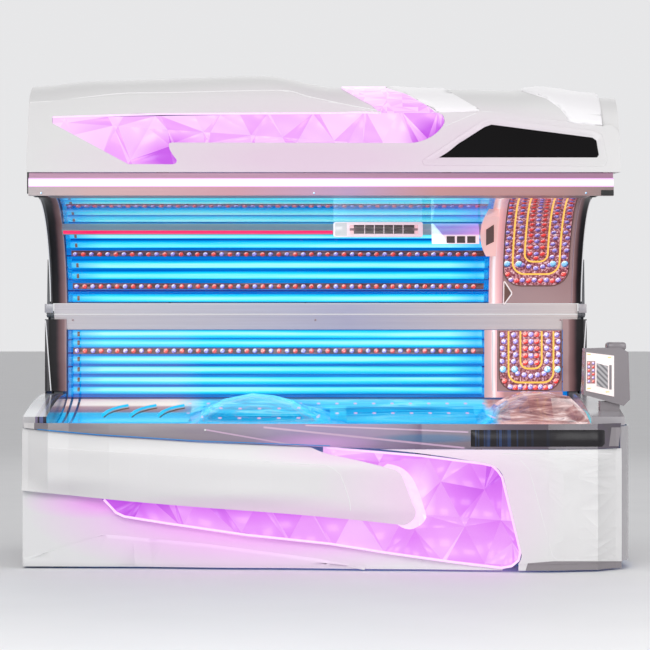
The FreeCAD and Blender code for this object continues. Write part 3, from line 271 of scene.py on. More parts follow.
def sheet_of(name, rows, closed=False, thick=0.0):
    """Skin through rows of points, from a grid whose corners are moved there.

    With rows going up and points to the right it looks to the front.
    """
    across, along = len(rows[0]), len(rows)
    pick_none()
    bpy.ops.mesh.primitive_grid_add(x_subdivisions=across - 1, y_subdivisions=along - 1, size=1.0)
    piece = start_piece(name)
    for corner, spot in zip(piece.data.vertices, [spot for line in rows for spot in line]):
        corner.co = spot
    if closed:
        with editing(piece):
            bpy.ops.mesh.remove_doubles(threshold=0.00001)
    if thick:
        modify(piece, "SOLIDIFY", thickness=thick, offset=-1.0)
    smooth(piece)
    return piece


def dress(piece, finish, body):
    """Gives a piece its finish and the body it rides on."""
    piece.data.materials.clear()
    piece.data.materials.append(finishes[finish].material)
    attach(piece, body)
    return piece


def onto(node, x, depth, z, out=0.0):
    """Where the line from the eye through this point meets a CAD piece, moved out along its face's normal.

    Nothing where the line passes by the piece.
    """
    aim = Vector((x, at(depth), z))
    spot, normal, _, _ = node_tree(node).ray_cast(EYE, (aim - EYE).normalized())
    return spot + normal * out if spot else None


trees = {}


def node_tree(node):
    if node not in trees:
        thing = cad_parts[node]
        corners = [thing.matrix_world @ v.co for v in thing.data.vertices]
        trees[node] = BVHTree.FromPolygons(corners, [tuple(p.vertices) for p in thing.data.polygons])
    return trees[node]


def traced(node, spots, out, per):
    """Points along runs of (x, depth, z), laid on a CAD piece's face as seen from the front."""
    line = []
    for a, b in zip(spots, spots[1:]):
        for i in range(per):
            x, depth, z = (p + (q - p) * i / per for p, q in zip(a, b))
            line.append(onto(node, x, depth, z, out))
    line.append(onto(node, *spots[-1], out))
    return [spot for spot in line if spot]


def bead_on(node, name, spots, out, per, thick, body, finish="painted highlight line"):
    """Bead laid on a CAD piece's face, so many points to a run of its line."""
    dress(wire(name, traced(node, spots, out, per), thick), finish, body)


def copied(node, name):
    """Own copy of a CAD piece's mesh, its doubled corners merged."""
    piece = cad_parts[node].copy()
    piece.data = piece.data.copy()
    call(piece, name)
    for key in list(piece.keys()):
        del piece[key]
    piece.parent = None
    bpy.context.collection.objects.link(piece)
    piece.hide_viewport = False
    piece.hide_render = False
    piece.hide_set(False)
    with editing(piece):
        bpy.ops.mesh.remove_doubles(threshold=0.00002)
    return piece


def on_plate(spot):
    """A point as the eye sees it, on a plane one metre away."""
    away = spot.y - EYE.y
    return (spot.x - EYE.x) / away, (spot.z - EYE.z) / away


def encloses(outline, spot):
    """Whether a point lies inside an outline, both flat."""
    x, z = spot
    inside = False
    for (xa, za), (xb, zb) in zip(outline, outline[1:] + outline[:1]):
        if (za > z) != (zb > z) and x < (xb - xa) * (z - za) / (zb - za) + xa:
            inside = not inside
    return inside


def part_of(node, name, corners, back=9.0, clear=0.0004):
    """Outer skin of a CAD piece inside an outline of (x, depth, z) that is seen from the front."""
    piece = copied(node, name)
    ring = [Vector((x, at(depth), z)) for x, depth, z in corners]
    with editing(piece):
        for a, b in zip(ring, ring[1:] + ring[:1]):
            pick_all()
            bpy.ops.mesh.bisect(plane_co=a, plane_no=(a - EYE).cross(b - EYE).normalized())
        pick_all()
        bpy.ops.mesh.bisect(plane_co=(0, at(back), 0), plane_no=(0, 1, 0), clear_outer=True)
    outline = [on_plate(spot) for spot in ring]
    for face in piece.data.polygons:
        facing = 0.6 * face.normal.z - face.normal.y      # faces that look to the front or up are kept
        face.select = facing < 0.1 or not encloses(outline, on_plate(face.center))
    with editing(piece, whole=False):
        bpy.ops.mesh.delete(type="FACE")
        pick_all()
        bpy.ops.transform.shrink_fatten(value=clear)
    return piece


def raised(piece, steps):
    """Raises the middle of a skin in steps of (inset, lift), which leaves a rounded rim all round."""
    with editing(piece):
        for inset, lift in steps:
            bpy.ops.mesh.inset(thickness=inset, depth=lift, use_boundary=True, use_even_offset=False)
    smooth(piece, 50.0)
    return piece


# ---------------------------------------------------------------- materials
def feed(tree, socket, value):
    """Links an input to another node's output, or sets its plain value."""
    if isinstance(value, bpy.types.NodeSocket):
        tree.links.new(value, socket)
    else:
        socket.default_value = (*value, 1.0) if socket.type == "RGBA" else value


def add_node(tree, kind, inputs, **settings):
    node = tree.nodes.new("ShaderNode" + kind)
    for key, value in settings.items():
        setattr(node, key, value)
    for key, value in inputs.items():
        feed(tree, node.inputs[key], value)
    return node


class Finish:
    """A material under construction: its nodes, links and main shader."""

    def __init__(self, name):
        self.name = name
        self.material = bpy.data.materials.new(name)
        self.material.use_nodes = True
        self.tree = self.material.node_tree
        self.shader = self.tree.nodes["Principled BSDF"]
        spots = self.node("TexCoord", {})
        self.place = spots.outputs["Object"]
        self.skin = spots.outputs["Normal"]

    def node(self, kind, inputs, **settings):
        return add_node(self.tree, kind, inputs, **settings)

    def put(self, **values):
        """Sets or links inputs of the main shader."""
        for key, value in values.items():
            feed(self.tree, self.shader.inputs[key.replace("_", " ")], value)
        return self

    def surface(self, share, first, second):
        """Shows a mix of two shaders in place of the main one."""
        both = self.node("MixShader", {0: share, 1: first.outputs[0], 2: second.outputs[0]})
        feed(self.tree, self.tree.nodes["Material Output"].inputs[0], both.outputs[0])
        return self

    def noise(self, scale, detail=3.0, place=None, rough=0.5, twist=0.0):
        return self.node("TexNoise", {"Scale": scale, "Detail": detail, "Roughness": rough,
                                      "Distortion": twist, "Vector": place or self.place}).outputs["Fac"]

    def grain(self, scale, detail, rough=0.5, twist=0.0):
        """Noise that is stretched by its own measure along each axis."""
        place = self.node("Mapping", {"Scale": scale, "Vector": self.place}).outputs[0]
        return self.noise(1.0, detail, place, rough, twist)

    def ramp(self, fac, *stops):
        """Colour ramp; each stop is a place with a colour, or with its three screen values."""
        node = self.node("ValToRGB", {0: fac})
        ramp = node.color_ramp
        while len(ramp.elements) < len(stops):
            ramp.elements.new(0.5)
        for element, (spot, *colour) in zip(ramp.elements, stops):
            element.position = spot
            element.color = (*(rgb(*colour) if len(colour) == 3 else colour[0]), 1.0)
        return node.outputs[0]

    def mottled(self, fac, dark, light):
        """From one colour to another over the middle of a noise."""
        return self.ramp(fac, (0.3, dark), (0.7, light))

    def band(self, value, low, high, out_low=0.0, out_high=1.0):
        return self.node("MapRange", {"Value": value, "From Min": low, "From Max": high,
                                      "To Min": out_low, "To Max": out_high}).outputs[0]

    def drift(self, noise, low, high):
        """The middle of a noise, spread between two values."""
        return self.band(noise, 0.3, 0.7, low, high)

    def math(self, kind, *values):
        return self.node("Math", dict(enumerate(values)), operation=kind).outputs[0]

    def plus(self, *values):
        total = values[0]
        for value in values[1:]:
            total = self.math("ADD", total, value)
        return total

    def minus(self, a, b):
        return self.math("SUBTRACT", a, b)

    def times(self, a, b):
        return self.math("MULTIPLY", a, b)

    def axis(self, letter):
        return self.node("SeparateXYZ", {0: self.place}).outputs[letter]

    def vector(self, kind, *values):
        node = self.node("VectorMath", dict(enumerate(values)), operation=kind)
        return node.outputs["Value"] if kind == "DOT_PRODUCT" else node.outputs[0]

    def mix(self, fac, a, b, kind="MIX"):
        node = self.node("Mix", {}, data_type="RGBA", blend_type=kind)
        for number, value in ((0, fac), (6, a), (7, b)):
            feed(self.tree, node.inputs[number], value)
        return node.outputs[2]

    def near(self, x, z, reach_x, reach_z, full=0.2):
        """1 round a place, falling to 0 at an ellipse round it."""
        dx = self.math("DIVIDE", self.minus(self.axis("X"), x), reach_x)
        dz = self.math("DIVIDE", self.minus(self.axis("Z"), z), reach_z)
        far = self.math("SQRT", self.plus(self.times(dx, dx), self.times(dz, dz)))
        return self.band(far, 1.0, full)

    def within(self, value, low, high, soft=0.0005):
        """1 where a value lies between two limits."""
        up = self.band(value, low - soft, low + soft)
        down = self.band(value, high + soft, high - soft)
        return self.math("MINIMUM", up, down)

    def streak(self, start, end, half):
        """1 on a straight line of (x, z), 0 off it."""
        slope = (end[1] - start[1]) / (end[0] - start[0])
        line = self.math("MULTIPLY_ADD", self.minus(self.axis("X"), start[0]), slope, start[1])
        off = self.math("ABSOLUTE", self.minus(self.axis("Z"), line))
        on = self.band(off, half, half * 0.4)
        return self.times(on, self.within(self.axis("X"), start[0], end[0], 0.004))

    def bumped(self, height, strength, distance):
        bump = self.node("Bump", {"Strength": strength, "Distance": distance, "Height": height})
        return self.put(Normal=bump.outputs[0])

    def lit(self, colour, strength=1.0, under=0.3):
        """Shines in a colour, over a dim coat of the same."""
        coat = self.mix(1.0, colour, (under, under, under), "MULTIPLY")
        return self.put(Emission_Color=colour, Base_Color=coat, Emission_Strength=strength)


def shades(colour, low, high):
    """Two shades of a colour, for a slight mottle."""
    return tuple(c * low for c in colour), tuple(min(1.0, c * high) for c in colour)


def moulded(name, colour, rough, coat, grain=0.05, swing=0.02):
    """Moulded, painted plastic: faint mottle, orange peel and uneven gloss."""
    f = Finish(name)
    f.put(Base_Color=f.mottled(f.noise(2.0, 2.0), *shades(colour, 1 - swing, 1 + swing)),
          Roughness=f.band(f.noise(3.0, 1.0), 0.2, 0.8, rough * 0.97, rough * 1.05),
          Coat_Weight=coat, Coat_Roughness=0.26)
    return f.bumped(f.noise(420.0, 2.0), grain, 0.0004)


def plain_paint(name, colour, rough=0.45):
    return moulded(name, colour, rough, 0.1, 0.25, 0.08)


def white_with_painted_glow(name, glows, colour=rgb(222, 221, 221), glow_colour=rgb(226, 196, 222), shine=0.1):
    """White gloss shell with a painted violet glow at places of (x, z, reach in x, reach in z, how much)."""
    f = moulded(name, colour, 0.38, 0.08)
    total = None
    for *place, much in glows:
        spot = f.times(f.near(*place), much)
        total = f.math("MAXIMUM", total, spot) if total else spot
    total = f.times(total, f.band(f.axis("Y"), -0.26, -0.38))
    dark, light = shades(colour, 0.992, 1.004)
    white = f.ramp(f.noise(1.1, 1.5), (0.2, dark), (0.8, light))
    return f.put(Base_Color=f.mix(total, white, glow_colour), Emission_Color=f.mix(total, (0.0, 0.0, 0.0), glow_colour),
                 Emission_Strength=shine)


def drawn_lines(f):
    """Fine lines along X."""
    return f.grain((1.5, 260, 260), 5.0, 0.6)


def brushed(name, colour, rough, metal):
    """Metal with fine drawn lines."""
    f = Finish(name)
    lines = drawn_lines(f)
    f.put(Base_Color=f.mottled(lines, *shades(colour, 0.88, 1.1)),
          Roughness=f.band(lines, 0.2, 0.8, rough * 0.8, rough * 1.25), Metallic=metal)
    return f.bumped(lines, 0.12, 0.0003)


def rail_finish(name, tones, painted_bar_reflection=None):
    """Drawn profile with tones that change along its length, and a painted reflection of the violet light bar
    along its middle.
    """
    f = brushed(name, rgb(200, 190, 195), 0.34, 0.18)
    along = f.ramp(f.band(f.axis("X"), -1.2, 1.15), *tones)
    tone = f.mix(f.drift(drawn_lines(f), 0.0, 0.2), along, rgb(150, 138, 148))
    if painted_bar_reflection:
        low, high, colour = painted_bar_reflection
        # painted reflection of the violet light bar in a band of heights
        tone = f.mix(f.within(f.axis("Z"), low, high, 0.001), tone, colour)
    return f.put(Base_Color=tone)


def lamp_glow_plastic(name, colour, glow, strength):
    """Pale gloss plastic with a painted glow of the lamps beside it."""
    f = moulded(name, colour, 0.18, 0.5, 0.05, 0.06)
    return f.put(Emission_Color=f.mottled(f.noise(7.0, 3.0), *shades(glow, 0.9, 1.06)),
                 Emission_Strength=strength)


def glowing(name, colour, strength=1.0, swing=0.06):
    """Lens or line that glows: light lines lit from behind, painted glow and painted highlight lines."""
    f = Finish(name)
    f.lit(f.mottled(f.noise(60.0, 2.0), *shades(colour, 1 - swing, 1 + swing)), strength)
    return f.put(Roughness=0.15, Coat_Weight=0.3)


def lens_finish(name, rim, body, bright):
    """Cut-glass LED lens, lit: a painted highlight where it looks up and to the foot end, painted shade at
    its rim, and painted glints.
    """
    f = Finish(name)
    up = f.band(f.vector("DOT_PRODUCT", f.skin, (-0.42, -0.74, 0.52)), 0.0, 1.0)
    sparkle = f.band(f.noise(230.0, 1.0), 0.35, 0.65, -0.22, 0.22)
    f.lit(f.ramp(f.plus(up, sparkle), (0.1, rim), (0.42, body), (0.68, body), (0.9, bright)))
    return f.put(Roughness=0.08, Coat_Weight=0.6)


def tube_finish():
    """Lit fluorescent tube: pale along the line that faces the tunnel, blue at its edges and its ends."""
    f = Finish("lit tube")
    middle = f.vector("SUBTRACT", (0.0, at(TUNNEL_DEPTH), TUNNEL_Z), f.place)
    inward = f.vector("NORMALIZE", f.vector("MULTIPLY", middle, (0.0, 1.0, 1.0)))
    facing = f.vector("DOT_PRODUCT", f.skin, inward)
    uneven = f.drift(f.grain((1.2, 30, 30), 2.0), -0.1, 0.1)
    tone = f.ramp(f.plus(facing, uneven), (0.0, 0, 70, 165), (0.4, 0, 158, 238), (0.64, 10, 206, 250),
                  (0.8, 34, 228, 255), (0.93, 122, 246, 255), (1.0, 168, 250, 255))
    x = f.axis("X")
    ends = f.math("MAXIMUM", f.band(x, -0.98, LAMP_LEFT_X), f.within(x, 0.6, 0.7, 0.07))
    deep = f.ramp(facing, (0.0, 0, 70, 170), (0.5, 0, 138, 240), (1.0, 10, 184, 255))
    tone = f.mix(f.times(ends, 0.85), tone, deep)
    label = f.times(f.within(x, -1.098, -1.087), f.within(facing, 0.82, 2.0, 0.02))
    return f.lit(f.mix(label, tone, rgb(122, 92, 84)), 1.0, 0.06).put(Roughness=0.25)


def reflector_finish():
    """Mirror sheet behind the tubes: a painted blue glow from their light, with a painted dark line of shade
    midway between two tubes.
    """
    f = Finish("blue mirror")
    y = f.minus(f.axis("Y"), at(TUNNEL_DEPTH))
    z = f.minus(f.axis("Z"), TUNNEL_Z)
    turn = f.times(f.math("ARCTAN2", z, y), 180 / math.pi)
    step = f.math("FRACT", f.math("DIVIDE", f.minus(turn, FIRST_LAMP_DEG), LAMP_PITCH_DEG))
    line = f.within(step, 0.44, 0.56, 0.03)
    blue = f.mottled(f.grain((2, 40, 40), 3.0), rgb(0, 105, 205), rgb(0, 140, 226))
    return f.lit(f.mix(line, blue, rgb(22, 26, 120)), 0.9, 0.2).put(Roughness=0.2, Metallic=0.6)


def strip_finish():
    """LED strip between the tubes, in mottled red-brown with a painted glow."""
    f = Finish("led strip base")
    mottle = f.grain((14, 90, 90), 3.0)
    f.lit(f.ramp(mottle, (0.25, 58, 30, 34), (0.5, 110, 66, 70), (0.75, 176, 128, 132)), 0.55, 0.5)
    return f.put(Roughness=0.18, Coat_Weight=0.4)


def clear_finish():
    """Clear acrylic: mostly seen through, with a clean reflection."""
    f = Finish("clear sheet")
    uneven = f.drift(f.noise(9.0, 3.0), 0.02, 0.05)
    edge = f.node("Fresnel", {"IOR": 1.33}).outputs[0]
    return f.surface(f.times(edge, 0.35), f.node("BsdfTransparent", {"Color": (0.97, 0.99, 1.0)}),
                     f.node("BsdfGlossy", {"Color": (0.95, 0.97, 1.0), "Roughness": uneven}))


def bench_finish():
    """Lying sheet: clear acrylic with the light of the tubes under it painted on.

    Painted blue waves of light over the tubes, pinkish brown under the head, a painted reflection of a metal
    strip at the foot end.
    """
    f = Finish("bench sheet")
    x, z = f.axis("X"), f.axis("Z")
    waves = f.grain((1.6, 3.4, 30), 3.0, 0.55, 1.6)
    blue = f.ramp(waves, (0.3, 0, 108, 176), (0.43, 0, 158, 222), (0.54, 20, 200, 252),
                  (0.62, 140, 236, 255), (0.7, 0, 176, 240))
    blue = f.mix(f.band(z, 0.645, 0.59, 0.0, 0.7), blue, rgb(0, 128, 190))
    # painted pale highlight band along the sheet
    blue = f.mix(f.band(z, 0.622, 0.655, 0.0, 0.35), blue, rgb(170, 236, 255))
    rows = f.math("MAXIMUM", f.within(z, 0.643, 0.649, 0.001), f.within(z, 0.606, 0.612, 0.001))
    bead = f.times(f.within(f.math("FRACT", f.times(x, 12.5)), 0.42, 0.58, 0.04), rows)
    blue = f.mix(bead, blue, rgb(240, 176, 214))
    foot = f.ramp(f.band(z, 0.56, 0.67), (0.0, 0, 136, 205), (0.2, 16, 170, 228), (0.44, 30, 188, 232),
                  (0.5, 146, 108, 102), (0.66, 190, 146, 134), (0.72, 255, 228, 218), (1.0, 240, 204, 194))
    head = f.ramp(f.grain((5.0, 4.0, 26), 4.0, 0.6, 2.2), (0.3, 112, 72, 78),
                  (0.48, 172, 124, 122), (0.58, 206, 160, 156), (0.66, 238, 212, 210), (0.74, 160, 108, 112))
    tone = f.mix(f.band(x, -0.66, -0.54), foot, blue)
    tone = f.mix(f.band(x, 0.672, 0.7), tone, head)
    end = f.within(f.math("FRACT", f.times(x, 30.0)), 0.3, 0.62, 0.03)
    tone = f.mix(f.times(end, f.band(x, -1.072, -1.078)), tone, rgb(34, 30, 52))
    f.lit(tone, 0.92, 0.1).put(Roughness=0.12, Coat_Weight=0.6, Coat_Roughness=0.03)
    upright = f.band(f.axis("Y"), 0.33, 0.338)
    see = f.plus(f.times(upright, 0.95), f.band(waves, 0.35, 0.6, 0.04, 0.22))
    clear = f.node("BsdfTransparent", {"Color": (0.96, 0.99, 1.0)})
    return f.surface(f.math("MINIMUM", see, 0.96), f.shader, clear)


def jewel_finish(name, dark_spots, pale_spots, pale, mid, deep, darkest):
    """Back-lit panel in facets, each with its own tone; darker or paler round given places."""
    f = Finish(name)
    facet = f.node("Attribute", {}, attribute_name="facet_tone").outputs["Fac"]
    level = f.plus(f.times(facet, 0.42), f.drift(f.noise(2.6, 2.0), -0.14, 0.14), 0.38)
    for spots, sign in ((pale_spots, 1), (dark_spots, -1)):
        for *place, much in spots:
            level = f.plus(level, f.times(f.near(*place), sign * much))
    f.lit(f.ramp(level, (0.0, darkest), (0.32, deep), (0.62, mid), (1.0, pale)), 0.94, 0.12)
    return f.put(Roughness=0.35, Coat_Weight=0.15)


def trim_finish():
    """Smoked gloss band along the bench edge: grey at the foot, with painted violet reflections and
    reflection streaks where light shines in, a painted white highlight at its left end, and a faint painted
    glow.
    """
    f = Finish("smoked trim")
    x = f.axis("X")
    # painted violet reflection along the middle of the band
    tone = f.ramp(f.band(x, -1.24, 1.19), (0.0, 150, 147, 148), (0.22, 146, 138, 144), (0.36, 140, 124, 148),
                  (0.46, 146, 122, 176), (0.56, 150, 120, 172), (0.66, 120, 98, 132), (0.76, 112, 98, 112),
                  (1.0, 92, 88, 92))
    mottle = f.grain((3, 30, 30), 4.0)
    tone = f.mix(f.band(mottle, 0.35, 0.65, 0.0, 0.25), tone, rgb(100, 78, 122))
    # painted pink reflection of the glowing panel
    tone = f.mix(f.near(-0.04, 0.515, 0.26, 0.045), tone, rgb(205, 152, 218))
    # painted patch of blue light
    tone = f.mix(f.times(f.near(0.4, 0.535, 0.24, 0.022, 0.5), 0.85), tone, rgb(24, 96, 150))
    # painted reflection streaks
    for line in (((-0.492, 0.568), (-0.113, 0.503), 0.004), ((-0.258, 0.578), (0.545, 0.497), 0.005),
                 ((-0.09, 0.586), (0.56, 0.56), 0.004)):
        tone = f.mix(f.streak(*line), tone, rgb(206, 170, 206))
    # painted white highlight at the left end
    painted_highlight_end = f.band(x, -1.1875, -1.1895)
    tone = f.mix(painted_highlight_end, tone, (1.0, 1.0, 1.0))
    return f.put(Base_Color=f.mix(1.0, tone, (0.62, 0.6, 0.6), "MULTIPLY"),
                 Emission_Color=f.mix(painted_highlight_end, tone, (0.0, 0.0, 0.0)), Roughness=0.12, Coat_Weight=0.3,
                 Coat_Roughness=0.05, Emission_Strength=0.12)


def cheek_finish(name, inner_x, outer_x):
    """Gloss end wall seen along the tunnel, with painted reflections: red-brown at its inner edge, black, and
    a painted grey highlight streak outwards, with a faint painted glow.
    """
    f = Finish(name)
    wobble = f.drift(f.grain((4, 5, 5), 3.0), -0.05, 0.05)
    tone = f.ramp(f.plus(f.band(f.axis("X"), inner_x, outer_x), wobble), (0.0, 176, 146, 146),
                  (0.1, 140, 108, 108), (0.3, 104, 76, 78), (0.42, 58, 44, 48), (0.5, 30, 26, 30),
                  (0.8, 14, 13, 15), (0.88, 84, 82, 84), (1.0, 40, 38, 40))
    return f.put(Base_Color=tone, Emission_Color=tone, Emission_Strength=0.12, Roughness=0.3,
                 Coat_Weight=0.08, Specular_IOR_Level=0.2)


def bar_finish():
    """Light bar: nearly white along its middle, pink at its edges."""
    f = Finish("light bar")
    tone = f.ramp(f.band(f.axis("Z"), 1.544, 1.58), (0.0, 216, 130, 214), (0.14, 250, 226, 252),
                  (0.5, 254, 243, 255), (0.86, 246, 216, 250), (1.0, 196, 110, 196))
    tone = f.mix(f.drift(f.noise(6.0), 0.0, 0.06), tone, rgb(240, 200, 240))
    return f.lit(tone, 1.0, 0.2).put(Roughness=0.3)


def face_finish():
    """Face panel between its lenses: red-brown with painted bright reflections of them, and a painted glow.
    """
    f = Finish("face panel")
    specks = f.noise(95.0, 2.0, None, 0.7)
    tone = f.ramp(specks, (0.35, 100, 40, 50), (0.5, 158, 86, 98), (0.6, 214, 150, 162), (0.7, 250, 224, 230))
    f.lit(tone, 0.72, 0.4)
    return f.put(Roughness=0.15, Coat_Weight=0.5)


def tanner_trim_finish():
    """Silver trim round the face panels: a painted pink glow from their lamps, with a painted pale highlight
    line down its middle.
    """
    f = lamp_glow_plastic("tanner trim", rgb(226, 180, 178), rgb(246, 196, 190), 0.36)
    sway = f.drift(f.noise(3.0), -0.05, 0.05)
    tone = f.ramp(f.plus(f.band(f.axis("X"), 0.69, 0.775), sway), (0.0, 196, 160, 160),
                  (0.3, 222, 178, 178), (0.44, 255, 246, 246), (0.54, 246, 196, 196), (0.8, 214, 156, 160),
                  (1.0, 176, 132, 134))
    return f.put(Base_Color=tone, Emission_Color=tone)


def painted_outlet_shade(f, front_y, x, z, tone):
    """The same tone, with painted shade inside an outlet that opens to the front."""
    inside = f.times(f.within(f.axis("X"), *x), f.within(f.axis("Z"), *z))
    behind = f.band(f.axis("Y"), front_y + 0.0015, front_y + 0.0035)
    return f.mix(f.times(inside, behind), tone, rgb(58, 36, 40))


def body_nozzle_finish():
    """Body nozzle: pale pink frame with a painted glow round an outlet with painted shade inside, whiter at
    its left end.
    """
    f = lamp_glow_plastic("body nozzle", rgb(240, 212, 216), rgb(246, 216, 220), 0.42)
    tone = f.ramp(f.band(f.axis("X"), 0.024, 0.406), (0.0, 250, 240, 242), (0.2, 236, 204, 208),
                  (1.0, 228, 190, 198))
    tone = painted_outlet_shade(f, 0.0779, (0.112, 0.372), (1.373, 1.42), tone)
    return f.put(Base_Color=tone, Emission_Color=tone)


def nozzle_finish():
    """Face nozzle: painted lilac light on top where the lamps' light falls on it, a painted white highlight
    along its curved left flank, and painted shade in its outlets.
    """
    f = lamp_glow_plastic("face nozzle", rgb(240, 214, 218), rgb(240, 206, 212), 0.5)
    x, z = f.axis("X"), f.axis("Z")
    top = f.ramp(f.band(x, 0.44, 0.64), (0.0, 168, 142, 206), (0.5, 176, 140, 200), (1.0, 214, 150, 214))
    tone = f.mix(f.band(z, 1.37, 1.374), rgb(238, 206, 212), top)
    # painted white highlight along the curved left flank
    flank = f.plus(f.minus(x, 0.452), f.times(f.minus(z, 1.4234), 0.7))
    tone = f.mix(f.band(flank, 0.004, -0.004), tone, rgb(254, 250, 252))
    for left in (0.507, 0.551, 0.595):
        tone = painted_outlet_shade(f, 0.0569, (left, left + 0.036), (1.338, 1.368), tone)
    return f.put(Base_Color=tone, Emission_Color=tone)


def lit_holder_finish():
    """Lampholders, blue all over from the tubes they carry."""
    f = Finish("lit holder")
    return f.lit(f.mottled(f.noise(40.0, 3.0), rgb(0, 124, 200), rgb(0, 164, 232)), 0.9).put(Roughness=0.3)


def end_cap_finish():
    """Silver end cover with the dark, blue-tinged bands that its gloss picks up at the lamps' side."""
    f = moulded("left cap", rgb(186, 184, 186), 0.12, 0.6)
    inner_x = -1.144
    band = f.ramp(f.band(f.axis("X"), inner_x, inner_x - 0.046), (0.0, 30, 28, 50), (0.28, 38, 34, 60),
                  (0.3, 96, 104, 150), (0.58, 110, 104, 150), (0.62, 26, 24, 40), (0.74, 30, 28, 44),
                  (0.78, 126, 112, 140), (0.97, 120, 110, 140), (1.0, 190, 188, 190))
    band.node.color_ramp.interpolation = "CONSTANT"
    return f.put(Base_Color=band)


def black_with_painted_streaks():
    """Black gloss field with painted upright blue reflection streaks at its left."""
    f = moulded("black gloss with painted streaks", (0.012, 0.01, 0.014), 0.3, 0.1, 0.01, 0.2)
    bars = f.grain((60, 1, 0.4), 2.0)
    left = f.times(f.band(bars, 0.52, 0.62), f.band(f.axis("X"), 0.9, 0.6))
    return f.put(Base_Color=f.mix(left, rgb(26, 23, 28), rgb(44, 66, 110)), Specular_IOR_Level=0.25)


def pod_screen():
    """Dim screen with plain slanted stripes."""
    f = moulded("pod screen", rgb(150, 146, 150), 0.12, 0.5)
    slant = f.math("FRACT", f.times(f.plus(f.axis("X"), f.axis("Z")), 46.0))
    streak = f.band(f.math("ABSOLUTE", f.minus(slant, 0.5)), 0.1, 0.4)
    return f.put(Base_Color=f.mix(streak, rgb(120, 118, 122), rgb(190, 188, 190)))


violet_light = (rgb(250, 216, 250), rgb(242, 190, 247), rgb(231, 150, 244), rgb(196, 84, 228))
lower_light = (rgb(245, 192, 248), rgb(232, 154, 244), rgb(218, 118, 240), rgb(196, 84, 228))
grey_to_salmon = ((0.0, 160, 152, 152), (0.1, 176, 143, 143), (0.35, 176, 124, 136), (0.55, 162, 130, 166),
                  (0.7, 180, 126, 126), (0.9, 168, 123, 120), (1.0, 130, 115, 113))
silver_to_lilac = ((0.0, 206, 198, 200), (0.3, 196, 186, 194), (0.55, 182, 174, 194), (0.75, 206, 194, 198),
                   (1.0, 222, 212, 208))

